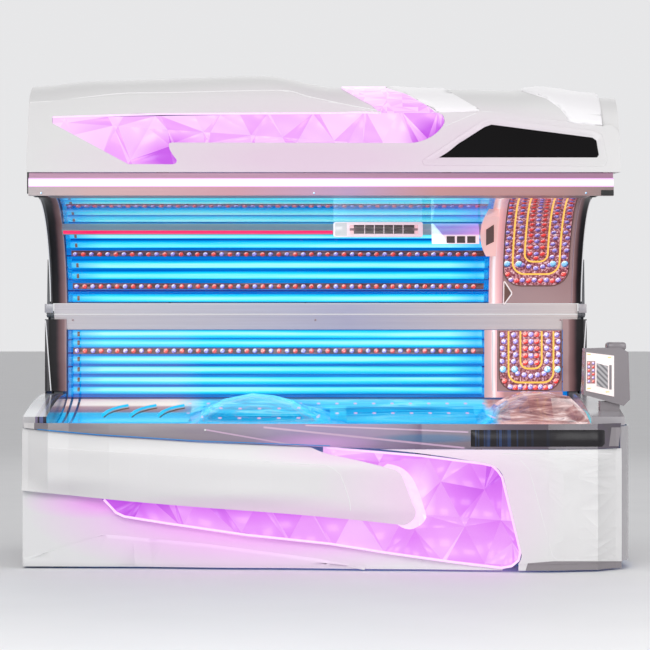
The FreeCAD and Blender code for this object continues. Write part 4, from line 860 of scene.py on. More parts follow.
finishes = {f.name: f for f in (
    moulded("shell white", rgb(222, 221, 222), 0.2, 0.45),
    # white shells with a violet glow painted on near the glowing panels
    white_with_painted_glow("canopy white", ((-0.05, 1.66, 1.15, 0.2, 0.75), (-0.1, 1.8, 0.9, 0.2, 0.35),
                                  (0.6, 1.74, 0.55, 0.16, 0.45)),
                 rgb(218, 217, 217), rgb(214, 184, 208), 0.05),
    white_with_painted_glow("front white", ((0.45, 0.3, 0.5, 0.42, 0.9), (-0.2, 0.2, 1.0, 0.12, 0.8),
                                 (0.12, 0.47, 0.45, 0.06, 0.9))),
    # whiter shell with a faint glow: a painted highlight on the ridge and the hump
    white_with_painted_glow("ridge highlight white", ((0.5, 1.8, 0.25, 0.08, 0.3),), rgb(244, 242, 244), shine=0.19),
    white_with_painted_glow("plinth white", ((-0.3, 0.22, 0.92, 0.26, 1.0), (-0.9, 0.27, 0.34, 0.1, 1.0)),
                 rgb(226, 226, 226), rgb(230, 158, 230), 0.22),
    jewel_finish("jewel upper", ((-0.615, 1.67, 0.19, 0.1, 0.6), (0.47, 1.74, 0.18, 0.11, 0.7)),
                 ((-0.9, 1.83, 0.3, 0.12, 0.12), (0.15, 1.92, 0.3, 0.06, 0.2)), *violet_light),
    jewel_finish("jewel lower", ((-0.86, 0.26, 0.24, 0.12, 0.6), (0.66, 0.4, 0.2, 0.26, 0.4),
                                 (0.3, 0.48, 0.5, 0.04, 0.1), (-0.45, 0.26, 0.5, 0.09, 0.4)),
                 ((0.36, 0.3, 0.075, 0.14, 0.5), (0.02, 0.495, 0.4, 0.06, 0.5),
                  (0.45, 0.07, 0.4, 0.07, 0.2)), *lower_light),
    tube_finish(),
    reflector_finish(),
    strip_finish(),
    clear_finish(),
    bench_finish(),
    trim_finish(),
    bar_finish(),
    face_finish(),
    tanner_trim_finish(),
    nozzle_finish(),
    body_nozzle_finish(),
    lit_holder_finish(),
    end_cap_finish(),
    black_with_painted_streaks(),
    pod_screen(),
    plain_paint("holder brown", rgb(118, 84, 74)),
    plain_paint("steel paint", (0.1, 0.105, 0.115), 0.5),
    plain_paint("dark plastic", (0.03, 0.03, 0.034), 0.5),
    plain_paint("black rubber", (0.02, 0.02, 0.02), 0.8),
    rail_finish("rim metal", grey_to_salmon, (1.5825, 1.6045, rgb(158, 122, 142))),
    rail_finish("drawn rail", silver_to_lilac),
    brushed("bright steel", (0.62, 0.61, 0.62), 0.22, 1.0),
    cheek_finish("left cheek", -1.143, -1.216),
    cheek_finish("right cheek", 1.069, 1.112),
    cheek_finish("left rear cheek", -1.144, -1.238),
    cheek_finish("right rear cheek", 1.05, 1.134),
    moulded("black gloss", (0.004, 0.0035, 0.004), 0.3, 0.0, 0.01, 0.2).put(Specular_IOR_Level=0.09),
    moulded("silver grey", rgb(176, 172, 176), 0.2, 0.5, 0.05, 0.05),
    moulded("mid grey", rgb(138, 132, 136), 0.25, 0.4, 0.05, 0.05),
    # pale plastics with a painted glow of the lamps beside them
    lamp_glow_plastic("pink silver", rgb(230, 180, 176), rgb(250, 196, 186), 0.46),
    lamp_glow_plastic("face silver", rgb(172, 140, 140), rgb(200, 150, 150), 0.06),
    lamp_glow_plastic("pale pink", rgb(240, 212, 216), rgb(246, 216, 220), 0.42),
    lamp_glow_plastic("pod plate", rgb(244, 232, 230), rgb(244, 226, 222), 0.3),
    glowing("pale halo", rgb(246, 204, 248), 0.96, 0.04),
    # painted highlight lines: near-white glowing beads laid along creases and edges
    glowing("painted highlight line", rgb(250, 248, 250), 0.55, 0.02),
    glowing("leaf light", rgb(36, 186, 234), 0.95),
    glowing("yellow light line", rgb(250, 196, 86)),
    glowing("pink light line", rgb(250, 30, 98)),
    glowing("blue light line", rgb(10, 122, 190), 0.8),
    lens_finish("white lens", rgb(62, 40, 92), rgb(152, 130, 214), rgb(250, 240, 255)),
    lens_finish("red lens", rgb(120, 26, 30), rgb(232, 60, 56), rgb(255, 190, 180)),
    lens_finish("large blue lens", rgb(40, 70, 130), rgb(132, 196, 238), rgb(240, 252, 255)),
)}

worn = {
    "canopy white": "canopy_shell canopy_fascia canopy_right_end",
    "front white": "front_swoosh_panel front_right_panel",
    "plinth white": "front_plinth_panel",
    "shell white": "rear_cover",
    "lit tube": "canopy_lamps base_lamps",
    "lit holder": "canopy_lampholders base_lampholders",
    "blue mirror": "canopy_reflector base_reflectors",
    "led strip base": "canopy_led_strips wall_led_strip",
    "rim metal": "canopy_rim",
    "drawn rail": "canopy_hinge_rail base_hinge_rail",
    "bright steel": "hinge_pins spring_rods",
    "clear sheet": "canopy_acrylic",
    "bench sheet": "bench_acrylic",
    "smoked trim": "bench_front_trim",
    "left cheek": "canopy_side_left",
    "right cheek": "canopy_side_right",
    "left rear cheek": "rear_end_left",
    "right rear cheek": "rear_end_right",
    "light bar": "canopy_light_bar",
    "black gloss": "canopy_sign_panel",
    "left cap": "bench_left_end_cap",
    "silver grey": "bench_right_end_cap left_side_panel right_side_panel breeze_bar",
    "mid grey": "control_pod",
    "pod plate": "control_screen",
    "tanner trim": "upper_face_trim lower_face_trim",
    "pink silver": "inner_control",
    "body nozzle": "body_nozzle",
    "pale pink": "nozzle_vane_1 nozzle_vane_2 nozzle_vane_3 nozzle_vane_4 nozzle_vane_5",
    "face nozzle": "face_nozzle",
    "face silver": "upper_face_panel lower_face_panel",
    "steel paint": "base_frame canopy_arms canopy_ribs hinge_brackets ballasts",
    "dark plastic": "control_box fan_shroud fan_rotor spring_bodies",
    "black rubber": "levelling_feet",
}


def wear(node, finish):
    """Gives a CAD node its finish."""
    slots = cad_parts[node].data.materials
    if not slots:
        slots.append(None)
    for i in range(len(slots)):
        slots[i] = finishes[finish].material


# ---------------------------------------------------------------- glowing faceted panels
JEWEL_TOP = ((-1.1168, 1.8305), (-0.6696, 1.8443), (0.0489, 1.8476), (0.1, 1.85), (0.16, 1.85),
             (0.205, 1.847))
JEWEL_OVER = (level(TOP_DEPTH, ((0.0562, 1.9508), (0.1289, 1.908), (0.1775, 1.8839)))
              + level(0.2, ((0.2097, 1.85), (0.445, 1.85)))
              + level(TOP_DEPTH, ((0.4535, 1.8455), (0.3992, 1.8847), (0.3208, 1.9276), (0.235, 1.9533),
                                  (0.235, 2.2), (0.0562, 2.2))))
JEWEL_RING = ((-0.02, 0.5007), (0.0577, 0.4907), (0.3764, 0.4639), (0.6218, 0.4326), (0.6607, 0.423),
              (0.681, 0.4026), (0.6975, 0.3782), (0.7708, 0.0791), (0.7628, 0.045), (0.735, 0.0228),
              (0.6951, 0.0156), (0.3764, 0.0538), (0.008, 0.1123), (-0.4088, 0.1563), (-0.8148, 0.2212),
              (-0.8492, 0.2372), (-0.8973, 0.2893))
HALO = ((0.212, 0.437), (0.28, 0.425), (0.3195, 0.4006), (0.352, 0.3554), (0.3968, 0.2248),
        (0.3888, 0.2044), (0.3684, 0.184), (0.3275, 0.166), (0.2787, 0.184), (0.212, 0.259))


def cut_lines(middle, heading, span, pitch, seed):
    """Cuts the piece being edited all over along parallel slanted planes seen from the front."""
    shift = random.Random(seed)
    a = math.radians(heading)
    across = Vector((math.cos(a), 0, math.sin(a)))
    steps = int(span / pitch)
    for i in range(-steps, steps + 1):
        spot = middle + across * (i * pitch + shift.uniform(-0.22, 0.22) * pitch)
        pick_all()
        bpy.ops.mesh.bisect(plane_co=spot, plane_no=across)


def faceted(piece, finish, body, seed, pitch, flat=12.0):
    """Breaks a panel's front into large flat facets and gives each its own tone."""
    corners = [v.co for v in piece.data.vertices]
    low = Vector([min(c[i] for c in corners) for i in range(3)])
    high = Vector([max(c[i] for c in corners) for i in range(3)])
    with editing(piece):
        bpy.ops.mesh.dissolve_limited(angle_limit=math.radians(flat))
        for heading, gap in ((28, pitch), (152, pitch * 1.15), (86, pitch * 1.3)):
            cut_lines((low + high) / 2, heading, (high - low).length / 2, gap, seed + heading)
        pick_all()
        bpy.ops.mesh.quads_convert_to_tris(quad_method="LONGEST_DIAGONAL", ngon_method="BEAUTY")
    tones = piece.data.attributes.new("facet_tone", "FLOAT", "FACE")
    shift = random.Random(seed)
    for i in range(len(piece.data.polygons)):
        tones.data[i].value = shift.random()
    bpy.ops.object.shade_flat()
    return dress(piece, finish, body)


def jewels():
    upper = faceted(copied("canopy_jewel_panel", "canopy_jewel"), "jewel upper", "canopy", 4, 0.15)
    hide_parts("canopy_jewel_panel")
    lower = faceted(copied("lower_jewel_panel", "lower_jewel"), "jewel lower", "base", 9, 0.17)
    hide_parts("lower_jewel_panel")
    top = part_of("canopy_shell", "canopy_jewel_top", JEWEL_OVER, 0.62, 0.003)
    faceted(top, "jewel upper", "canopy", 14, 0.13, 1.0)


def rounded_ring(ring):
    """The same closed outline with its corners rounded off."""
    for _ in range(2):
        ring = [(a[0] + (b[0] - a[0]) * share, a[1] + (b[1] - a[1]) * share)
                for a, b in zip(ring, ring[1:] + ring[:1]) for share in (0.25, 0.75)]
    return ring


def jewel_edges():
    """Pale glow in the joints round the glowing panels, and round the tip of the white sweep."""
    spots = [(x, at(canopy_face(z) - 0.001), z) for x, z in JEWEL_TOP]
    dress(wire("canopy_jewel_edge", spots, 0.008), "pale halo", "canopy")
    bead_on("lower_jewel_panel", "lower_jewel_edge", level(FACE_DEPTH, JEWEL_RING), 0.0008, 5, 0.01, "base",
            "pale halo")
    outline = level(FACE_DEPTH, rounded_ring(HALO))
    halo = part_of("lower_jewel_panel", "lower_jewel_halo", outline, clear=0.003)
    smooth(halo)
    dress(halo, "pale halo", "base")


# ---------------------------------------------------------------- white shells
RIDGE = ((0.235, 2.2), (0.235, 1.9533), (0.3208, 1.9276), (0.3992, 1.8847), (0.4535, 1.8455),
         (0.6177, 1.8455), (0.6177, 1.8692), (0.5944, 1.8822), (0.4617, 1.9598), (0.4617, 2.2))
HUMP = ((0.7936, 2.2), (0.7936, 1.9481), (0.8958, 1.9165), (0.9508, 1.8771), (0.982, 1.838),
        (0.982, 1.78), (1.3, 1.78), (1.3, 2.2))
FASCIA_TOP = ((-1.216, 0.286), (-0.769, 0.322), (-0.183, 0.332), (0.008, 0.284), (0.209, 0.244),
              (0.446, 0.242), (0.603, 0.246), (1.112, 0.189))
FOLD = ((-1.216, 0.294), (-0.769, 0.33), (-0.183, 0.34), (0.008, 0.292), (0.209, 0.252), (0.446, 0.25),
        (0.603, 0.254), (1.112, 0.196))    # both tables give heights above CANOPY_LOW_Z
BLADE_LINE = ((-0.2, 0.25, 1.935), (-0.05, 0.25, 1.901), (0.085, 0.22, 1.87))
BLADE_EDGE = ((-0.183, 0.25, 1.944), (-0.05, 0.25, 1.914), (0.1, 0.22, 1.88), (0.206, 0.2, 1.859))
SLOPE_EDGE = ((0.4772, 0.17, 1.7948), (0.6177, 0.2, 1.856))
CREASE = ((-1.117, 0.496), (-0.87, 0.48), (-0.46, 0.453), (-0.05, 0.4275), (-0.014, 0.4265))
CREASE_END = ((-0.014, 0.4265), (0.022, 0.412), (0.048, 0.389), (0.066, 0.345), (0.086, 0.285),
              (0.09, 0.245))
FIELD = ((0.745, 0.456), (0.77, 0.448), (0.8059, 0.4108), (0.8996, 0.0629), (0.916, 0.048),
         (1.3, 0.048), (1.3, 0.456))
KICK = ((0.79, 0.0), (0.8, 0.034), (0.905, 0.042), (1.3, 0.042), (1.3, 0.0))
PLINTH_FIELD = ((-1.2375, 0.17, 0.012), (-1.2375, 0.17, 0.043), (-1.0087, 0.17, 0.1087),
                (-0.9155, 0.17, 0.1411), (-0.5023, 0.15, 0.1047), (-0.05, 0.1, 0.05), (0.15, 0.1, 0.012))
SIGN_OUTER = ((0.376, 1.65), (0.629, 1.821), (0.671, 1.829), (1.08, 1.777), (1.111, 1.758), (1.13, 1.651),
              (1.117, 1.6265), (0.385, 1.6315))
SIGN_INNER = ((0.4469, 1.6691), (0.6348, 1.7907), (0.6627, 1.8008), (1.0699, 1.7466), (1.086, 1.7345),
              (1.0941, 1.6747), (1.086, 1.6642), (0.451, 1.6642))
SIGN_STEPS = ((1.0, -0.005), (0.86, -0.002), (0.34, 0.001), (0.2, 0.003), (0.06, 0.0026), (0.0, -0.0006))


def ridge_and_hump():
    """Two swells of the canopy's top, right of the glowing panel and at the head end, whiter and faintly
    glowing as a painted highlight.
    """
    for name, outline, back, inset in (("canopy_ridge", level(TOP_DEPTH, RIDGE), 0.6, 0.004),
                                       ("canopy_hump", level(0.3, HUMP), 0.62, 0.003)):
        swell = raised(part_of("canopy_shell", name, outline, back), ((inset, 0.003), (inset, 0.0015)))
        dress(swell, "ridge highlight white", "canopy")


def fold_z(x):
    """Height of the joint between the canopy's front and its shell."""
    return CANOPY_LOW_Z + between(x, FOLD, ease=True)


def fold_bead():
    """Rounded joint between the canopy's front and its shell, with a painted highlight line along it and
    painted highlight lines on the blade and the slope.
    """
    for side, x0, x1, lit_x0, lit_x1 in (("left", -1.214, 0.214, -1.2, 0.1),
                                         ("right", 0.455, 1.111, 0.61, 1.105)):
        rows = [[], [], []]
        for x in row(x0, (x1 - x0) / 64, 65):
            low = CANOPY_LOW_Z + between(x, FASCIA_TOP) - 0.003
            high = max(low + 0.013, fold_z(x) + 0.003)
            for line, z, out in zip(rows, (low, (low + high) / 2, high), (-0.0004, 0.0016, -0.0016)):
                line.append((x, at(canopy_face(z) - out), z))
        dress(sheet_of("canopy_fold_bead_" + side, rows), "canopy white", "canopy")
        light = [(x, TOP_DEPTH, fold_z(x) + 0.002) for x in row(lit_x0, (lit_x1 - lit_x0) / 40, 41)]
        bead_on("canopy_shell", "canopy_fold_light_" + side, light, 0.0006, 1, 0.0042, "canopy")
    bead_on("canopy_shell", "canopy_blade_line", BLADE_LINE, 0.0004, 10, 0.0034, "canopy")
    bead_on("canopy_shell", "canopy_blade_edge", BLADE_EDGE, 0.0006, 10, 0.0042, "canopy")
    bead_on("canopy_fascia", "canopy_slope_edge", SLOPE_EDGE, 0.0002, 10, 0.0026, "canopy")


def loop_of(corners, share, towards):
    """Closed outline between two others, with eight steps along each side."""
    ring = [Vector(a).lerp(Vector(b), share) for a, b in zip(corners, towards)]
    line = [a.lerp(b, i / 8) for a, b in zip(ring, ring[1:] + ring[:1]) for i in range(8)]
    return line + line[:1]


def sign_frame():
    """Bevelled white frame that leads down to the bare black panel."""
    rows = [[(p.x, at(canopy_face(p.y) - out), p.y) for p in loop_of(SIGN_OUTER, share, SIGN_INNER)]
            for share, out in SIGN_STEPS]
    bevel = sheet_of("canopy_sign_frame", rows, closed=True)
    with editing(bevel):
        bpy.ops.mesh.flip_normals()
    dress(bevel, "canopy white", "canopy")


def cabinet_lines():
    """Painted highlight lines along creases of the cabinet's front, and its raised fields."""
    bead_on("front_swoosh_panel", "swoosh_crease", level(0.06, CREASE), 0.0, 10, 0.0036, "base")
    bead_on("front_swoosh_panel", "swoosh_crease_end", level(FACE_DEPTH, CREASE_END), 0.0, 6, 0.003, "base")
    field = part_of("front_right_panel", "right_field", level(FACE_DEPTH, FIELD), clear=0.0001)
    smooth(field, 4.0)
    dress(field, "front white", "base")
    edge = level(FACE_DEPTH, FIELD[1:5] + ((1.12, 0.048),))
    bead_on("front_right_panel", "right_field_edge", edge, -0.0013, 8, 0.0036, "base")
    step = [(x, FACE_DEPTH, 0.472) for x in row(0.7, 0.04, 12)]
    bead_on("front_right_panel", "right_upper_step", step, 0.0, 2, 0.003, "base")
    kick = part_of("front_right_panel", "right_kick", level(FACE_DEPTH, KICK), clear=0.0012)
    dress(kick, "mid grey", "base")
    foot = part_of("front_plinth_panel", "plinth_field", PLINTH_FIELD)
    dress(raised(foot, ((0.01, 0.003), (0.006, 0.001))), "plinth white", "base")


# ---------------------------------------------------------------- bench trim
TRIM_EDGE = ((-1.232, 0.5715), (-0.935, 0.5455), (-0.52, 0.5195), (0.008, 0.4995))
BLACK_FIELD = ((0.5714, 0.501), (1.096, 0.501), (1.1069, 0.512), (1.1069, 0.564), (1.102, 0.5684),
               (0.5714, 0.5684))
END_FACET = ((1.125, 0.503), (1.168, 0.503), (1.176, 0.578), (1.135, 0.578))


def trim_details():
    spots = [(x, 0.1, z + 0.0022) for x, z in TRIM_EDGE]
    bead_on("bench_front_trim", "trim_light_line", spots, 0.0006, 14, 0.0036, "base",
            "blue light line")
    field = part_of("bench_front_trim", "trim_black_field", level(0.04, BLACK_FIELD), 0.14)
    dress(raised(field, ((0.002, 0.0016),)), "black gloss with painted streaks", "base")
    # a lighter grey facet at the trim's right end: a painted highlight
    facet = part_of("bench_front_trim", "trim_end_highlight_facet", level(FACE_DEPTH, END_FACET), 0.2)
    dress(facet, "mid grey", "base")
    # a small glowing bead on the trim's edge: a painted glint
    pick_none()
    bpy.ops.mesh.primitive_uv_sphere_add(segments=12, ring_count=6, radius=0.0035)
    bead = start_piece("trim_glint_bead")
    spot = onto("bench_front_trim", -0.492, FACE_DEPTH, 0.5675)
    for corner in bead.data.vertices:
        corner.co = Vector((corner.co.x, corner.co.y * 0.5, corner.co.z)) + spot
    smooth(bead)
    dress(bead, "painted highlight line", "base")


# ---------------------------------------------------------------- LED lenses
def lens_model(r):
    """Domed lens looking to the front."""
    pick_none()
    bpy.ops.mesh.primitive_uv_sphere_add(segments=12, ring_count=8, radius=r)
    lens = bpy.context.object
    lens.rotation_euler = (math.radians(90), 0, 0)
    settle()
    with editing(lens):
        bpy.ops.mesh.bisect(plane_co=(0, 0, 0), plane_no=(0, 1, 0), clear_outer=True, use_fill=True)
        pick_all()
        bpy.ops.transform.resize(value=(1, 0.5, 1), center_override=(0, 0, 0))
    smooth(lens, 60)
    return lens


def lens_set(name, finish, body, r, spots):
    """Lenses of one kind at (x, depth, z, turn about X), as one piece."""
    model = lens_model(r)
    made = []
    for x, depth, z, degrees in spots:
        twin = model.copy()
        twin.data = model.data.copy()
        bpy.context.collection.objects.link(twin)
        turn = Matrix.Rotation(math.radians(degrees), 4, "X")
        twin.matrix_world = Matrix.Translation((x, at(depth), z)) @ turn
        made.append(twin)
    whole = joined(name, made)
    lone(whole)
    settle()
    bpy.data.objects.remove(model)
    dress(whole, finish, body)


def lens_rows():
    """White and red lenses by turns along the LED strips."""
    xs = row(LAMP_LEFT_X + DOME_PITCH / 2, DOME_PITCH, int((LAMP_RIGHT_X - LAMP_LEFT_X) / DOME_PITCH))
    strips = []
    for n, gap in enumerate(DOME_ROWS):
        angle = FIRST_LAMP_DEG + LAMP_PITCH_DEG * gap
        place = on_ring(LAMP_CIRCLE_R - DOME_STAND, angle)
        strips.append(("canopy_lenses_%%s_%d" % n, "canopy", *place, angle))
    strips.append(("wall_lenses_%s", "base", WALL_LAMP_DEPTH - DOME_STAND, WALL_DOME_Z, 0.0))
    for name, body, *place in strips:
        for tone, first in (("white", 0), ("red", 1)):
            lens_set(name % tone, tone + " lens", body, DOME_R, [(x, *place) for x in xs[first::2]])


# ---------------------------------------------------------------- face tanners
UPPER_FACE_R = 0.507
LOWER_FACE_DEPTH = 0.998
SPEAKER = ((0.77, 1.1775), (0.774, 1.178), (0.8046, 1.132), (0.8046, 1.123), (0.774, 1.08),
           (0.77, 1.081))


def on_upper(x, s, out=0.003):
    """Point on the upper face panel, s measured along its curve from the level line."""
    depth, z = on_ring(UPPER_FACE_R - out, math.degrees(s / TUNNEL_R))
    return (x, at(depth), z)


def on_lower(x, z, out=0.003):
    return (x, at(LOWER_FACE_DEPTH - out), z)


def u_line(place, x0, x1, top, bottom, corner):
    """Spots of a U with round lower corners."""
    middle = bottom + corner
    spots = [(x0, middle + (top - middle) * (16 - i) / 16) for i in range(16)]
    for x, start in ((x0 + corner, 180), (x1 - corner, 270)):
        for a in map(math.radians, row(start, 15, 7)):
            spots.append((x + corner * math.cos(a), middle + corner * math.sin(a)))
    spots += [(x1, middle + (top - middle) * i / 16) for i in range(1, 17)]
    return [place(x, s) for x, s in spots]


def u_plate(name, place, x0, x1, top, bottom, corner):
    """Plate with round lower corners that follows the face panel."""
    middle = bottom + corner
    heights = [bottom + corner * (1 - math.cos(math.radians(90 * i / 8))) for i in range(9)]
    heights += [middle + (top - middle) * i / 20 for i in range(1, 21)]
    rows = []
    for s in heights:
        cut = corner - math.sqrt(max(0.0, corner ** 2 - max(0.0, middle - s) ** 2))
        rows.append([place(x, s, 0.0016) for x in row(x0 + cut, (x1 - x0 - 2 * cut) / 6, 7)])
    return sheet_of(name, rows, thick=0.0012)


def arc(degrees):
    """Length along the tunnel's curve."""
    return math.radians(degrees) * TUNNEL_R


def upper_spot(x, degrees):
    return (x, *on_ring(UPPER_FACE_R, degrees), degrees)


def lower_spot(x, z):
    return (x, LOWER_FACE_DEPTH, z, 0)


def grid(spot, xs, levels, stagger=0.0):
    """Lens places in upright columns; a stagger moves them by turns to the left and right."""
    return [spot(x + (stagger if n % 2 else -stagger), s) for x in xs for n, s in enumerate(levels)]


def smile(spot, start, step, low, rise):
    """Five lens places side by side, the outer ones higher."""
    return [spot(start + step * n, low + rise * abs(n - 2)) for n in range(5)]


def face_tanner(side, body, place, plate, rim, lines, top, lenses):
    """Face panel: plate, dark rim, two yellow light lines in a U and three kinds of lenses."""
    dress(u_plate(side + "_face_plate", place, *plate), "face panel", body)
    dress(wire(side + "_face_rim", u_line(place, *rim), EDGE_WIRE), "holder brown", body)
    for part, (x0, x1, low, corner) in zip(("outer", "inner"), lines):
        line = wire("%s_light_line_%s" % (side, part), u_line(place, x0, x1, top, low, corner), 0.008)
        dress(line, "yellow light line", body)
    for tone, finish, r, spots in lenses:
        lens_set("%s_face_%s" % (side, tone), finish, body, r, spots)


def upper_face():
    columns = (0.782, 0.834, 0.982, 1.034)
    middle = row(33.0, 3.8, 13)
    close = row(58.4, 2.9, 9)
    violet = (grid(upper_spot, columns, row(31.2, 3.8, 7), 0.005) + grid(upper_spot, (0.907,), middle)
              + grid(upper_spot, row(0.8, 0.052, 5), (18.8,)) + smile(upper_spot, 0.848, 0.03, 25.0, 0.9)
              + grid(upper_spot, columns, close[::2]))
    red = (grid(upper_spot, (0.88, 0.934), middle) + [upper_spot(0.907, 30.6)]
           + grid(upper_spot, row(0.826, 0.052, 4), (18.4,)) + grid(upper_spot, (0.786, 1.03), (21.8,))
           + grid(upper_spot, columns, close[1::2]))
    face_tanner("upper", "canopy", on_upper, (0.77, 1.05, arc(84), arc(16.2), 0.075),
                (0.768, 1.052, arc(84), arc(15.9), 0.077),
                ((0.806, 1.01, arc(22.0), 0.055), (0.857, 0.957, arc(28.8), 0.036)), arc(86),
                (("violet", "white lens", 0.0125, violet), ("red", "red lens", 0.0125, red),
                 ("blue", "large blue lens", 0.0165, grid(upper_spot, columns, (27.4,)))))


def lower_face():
    columns = (0.768, 0.819, 0.963, 1.008)
    middle = row(0.822, 0.031, 5)
    violet = (grid(lower_spot, columns, row(0.828, 0.029, 5), 0.004) + grid(lower_spot, (0.891,), middle)
              + grid(lower_spot, row(0.8, 0.044, 5), (0.716,))
              + smile(lower_spot, 0.832, 0.029, 0.763, 0.006))
    red = (grid(lower_spot, (0.866, 0.916), middle) + grid(lower_spot, row(0.822, 0.044, 4), (0.713,))
           + grid(lower_spot, (0.775, 1.0), (0.742,)))
    face_tanner("lower", "base", on_lower, (0.751, 1.022, 0.962, 0.698, 0.07),
                (0.752, 1.021, 0.962, 0.7005, 0.07),
                ((0.792, 0.989, 0.736, 0.045), (0.844, 0.9375, 0.797, 0.032)), 0.96,
                (("violet", "white lens", 0.0125, violet), ("red", "red lens", 0.0125, red),
                 ("blue", "large blue lens", 0.016, grid(lower_spot, columns, (0.793,)))))


def arc_line(x, r, start, step, count):
    """Points along a piece of a circle about the tunnel's axis."""
    rounds = [on_ring(r, a) for a in row(start, step, count)]
    return [(x, at(depth), z) for depth, z in rounds]


def face_trim_lines():
    """Painted highlight lines along the face tanners' trim, and the speaker's triangle under the upper one.
    """
    for n, x in enumerate((0.7218, 0.7389)):
        line = wire("upper_trim_edge_%d" % n, arc_line(x, 0.5022, 8.7, 2.5, 29), EDGE_WIRE)
        dress(line, "painted highlight line", "canopy")
    spots = [(0.7225, at(0.9865), z) for z in row(0.7, 0.026, 11)]
    dress(wire("lower_trim_edge", spots, 0.006), "painted highlight line", "base")
    corners = [on_upper(x, TUNNEL_R * math.asin((z - TUNNEL_Z) / UPPER_FACE_R), 0.004) for x, z in SPEAKER]
    dress(wire("speaker_rim", corners, 0.007, True), "pod plate", "canopy")
    cloth = sheet_of("speaker_cloth", [[corners[5], corners[4]], [corners[0], corners[2]]])
    dress(cloth, "holder brown", "canopy")


# ---------------------------------------------------------------- air bar, nozzles and inner control
BAR_ANGLE = 51.0
BAR_DEPTH, BAR_Z = 0.8029, 1.4
BAR_FACE = BAR_DEPTH - 0.017


def air_bar():
    line = block("breeze_light_line", (-1.138, 0.021), (BAR_FACE - 0.0015, BAR_FACE + 0.001),
                 (BAR_Z - 0.01, BAR_Z + 0.01), 0.001)
    turned(line, BAR_DEPTH, BAR_Z, BAR_ANGLE)
    dress(line, "pink light line", "canopy")
    # white plate at the nozzle's left end, made to glow as a painted highlight
    glow_plate = block("nozzle_end_glow_plate", (0.0307, 0.082), (0.7245, 0.7295), (1.369, 1.424), 0.002)
    dress(glow_plate, "painted highlight line", "canopy")
    spots = ((0.676, 1.3275), (0.7095, 1.3439)), ((0.676, 1.3958), (0.7095, 1.4179))
    rows = [[onto("inner_control", x, 0.72, z, 0.001) for x, z in line] for line in spots]
    dress(sheet_of("inner_control_window", rows), "holder brown", "canopy")


def control_blade():
    """Hand control at the canopy's right end: a blade, widest at its middle and narrow at both tips."""
    blade = copied("inner_control", "control_blade")
    spots = [v.co for v in blade.data.vertices]
    low, high = min(c.z for c in spots), max(c.z for c in spots)
    for spot in spots:
        run = (2 * spot.z - low - high) / (high - low)
        if spot.x < 0.7:
            spot.x += 0.03 * run * run - 0.016
    smooth(blade)
    dress(blade, "pink silver", "canopy")
    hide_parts("inner_control")


# ---------------------------------------------------------------- rim, cheeks and hinge line
def rim_details():
    """Small round marks on the two rails, a rubber pad and painted highlight lines along the edges of the end
    walls.
    """
    # The rim marks take the lit lens finish and the rail marks the end walls' finish, so their glow and
    # highlights are painted.
    marks = [(x, 0.0975, 1.519, 0) for x in (-1.1546, -0.0563, 1.038)]
    lens_set("rim_marks", "large blue lens", "canopy", 0.0042, marks)
    marks = [(x, 0.9965, 1.0095, 0) for x in (-1.1164, -0.054, 1.02)]
    lens_set("rail_marks", "left cheek", "base", 0.0042, marks)
    pad = block("rim_pad", (1.0984, 1.1499), (0.0955, 0.102), (1.5092, 1.5311), 0.003)
    dress(pad, "black rubber", "canopy")
    for side, x in (("left", -1.2145), ("right", 1.1105)):
        edge = wire("canopy_%s_edge" % side, arc_line(x, 0.5035, 8.0, 2.0, 37), EDGE_WIRE)
        dress(edge, "painted highlight line", "canopy")
    for side, top_x, low_x in (("left", -1.2355, -1.212), ("right", 1.1315, 1.11)):
        spots = [(top_x, at(0.9865), 1.008), (low_x, at(0.9865), 0.7)]
        dress(wire("rear_%s_edge" % side, spots, EDGE_WIRE), "painted highlight line", "base")


def rail_ends():
    """Small silver blocks that close the canopy's hinge rail at both ends."""
    for side, x in (("left", (-1.2385, -1.2015)), ("right", (1.097, 1.1325))):
        end = block("rail_end_" + side, x, (0.98, 0.985), (1.041, 1.08), 0.0015)
        dress(end, "silver grey", "canopy")


# ---------------------------------------------------------------- foot end of the lying sheet
LEAVES = (-0.8965, -0.7849, -0.6734)
LEAF = ((0.0, 0.6295), (0.016, 0.6415), (0.04, 0.6514), (0.068, 0.6594), (0.0996, 0.6653))
LEAF_STROKES = (("leaf_shade_%d", 0.004, 0.009, 0.001, 0.0055, "holder brown"),
                ("leaf_%d", 0.0, 0.0, 0.002, 0.014, "leaf light"))


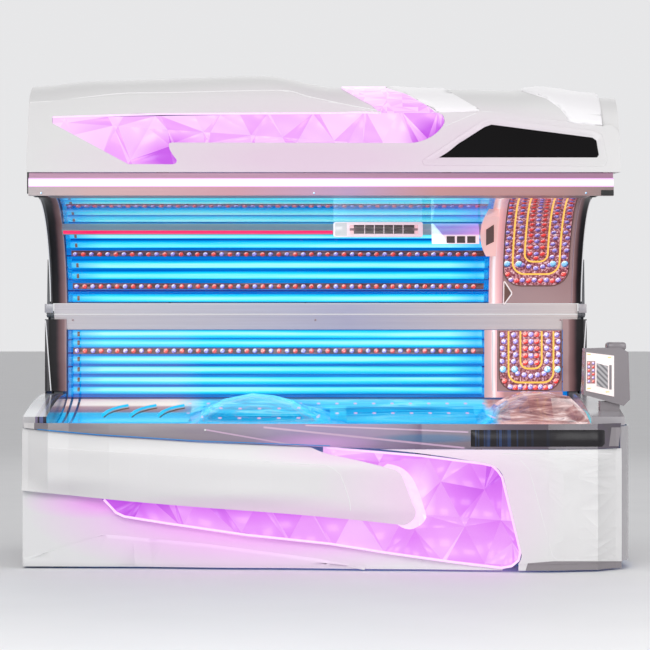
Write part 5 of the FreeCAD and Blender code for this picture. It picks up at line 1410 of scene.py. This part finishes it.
def leaves():
    """Three leaf-shaped strokes pressed into the foot end: cyan, with a brown painted shade along the lower
    edge.
    """
    for n, left in enumerate(LEAVES):
        for name, shift, drop, out, thick, finish in LEAF_STROKES:
            line = [(left + shift + run, 0.0, z - drop) for run, z in LEAF]
            bead_on("bench_acrylic", name % n, line, out, 3, thick, "base", finish)


# ---------------------------------------------------------------- control pod
POD_DEPTH = 0.2955
POD_KEY_STEP = 0.0148
POD_MARKS = ((1.064, 0.866), (1.148, 0.853), (1.064, 0.726), (1.14, 0.712))


def pod_details():
    """Screen glass, key field with its lamps, side strip, four yellow marks and the round top."""
    plate = (POD_DEPTH - 0.001, POD_DEPTH + 0.001)
    quad = ((1.1021, 0.7376), (1.1485, 0.7253)), ((1.1021, 0.832), (1.1485, 0.8196))
    rows = [[(x, at(plate[0]), z) for x, z in line] for line in quad]
    dress(sheet_of("pod_screen_glass", rows, thick=0.0015), "pod screen", "base")
    keys = block("pod_key_field", (1.0625, 1.0965), plate, (0.7478, 0.8402), 0.0004, 1)
    dress(keys, "face silver", "base")
    for n, finish in enumerate(("white lens", "red lens")):
        spots = [(1.0705 + 0.018 * ((i + n) % 2), POD_DEPTH - 0.0012, 0.757 + POD_KEY_STEP * i, 0)
                 for i in range(6)]
        lens_set("pod_keys_%d" % n, finish, "base", 0.0058, spots)
    strip = block("pod_side_strip", (1.154, 1.164), plate, (0.7232, 0.8238), 0.0004, 1)
    dress(strip, "mid grey", "base")
    thin = (POD_DEPTH - 0.0008, POD_DEPTH + 0.001)
    marks = [block("pod_mark_%d" % n, (x, x + 0.014), thin, (z, z + 0.0035), 0.0003, 1)
             for n, (x, z) in enumerate(POD_MARKS)]
    dress(joined("pod_marks", marks), "yellow light line", "base")
    hump = block("pod_top", (1.148, 1.226), (0.306, 0.402), (0.884, 0.9177), 0.012)
    dress(hump, "mid grey", "base")


# ---------------------------------------------------------------- build
for finish, nodes in worn.items():
    for node in nodes.split():
        wear(node, finish)

jewels()
jewel_edges()
ridge_and_hump()
fold_bead()
sign_frame()
cabinet_lines()
trim_details()
lens_rows()
upper_face()
lower_face()
face_trim_lines()
air_bar()
control_blade()
rim_details()
rail_ends()
leaves()
pod_details()
floor()
set_studio()
set_camera()
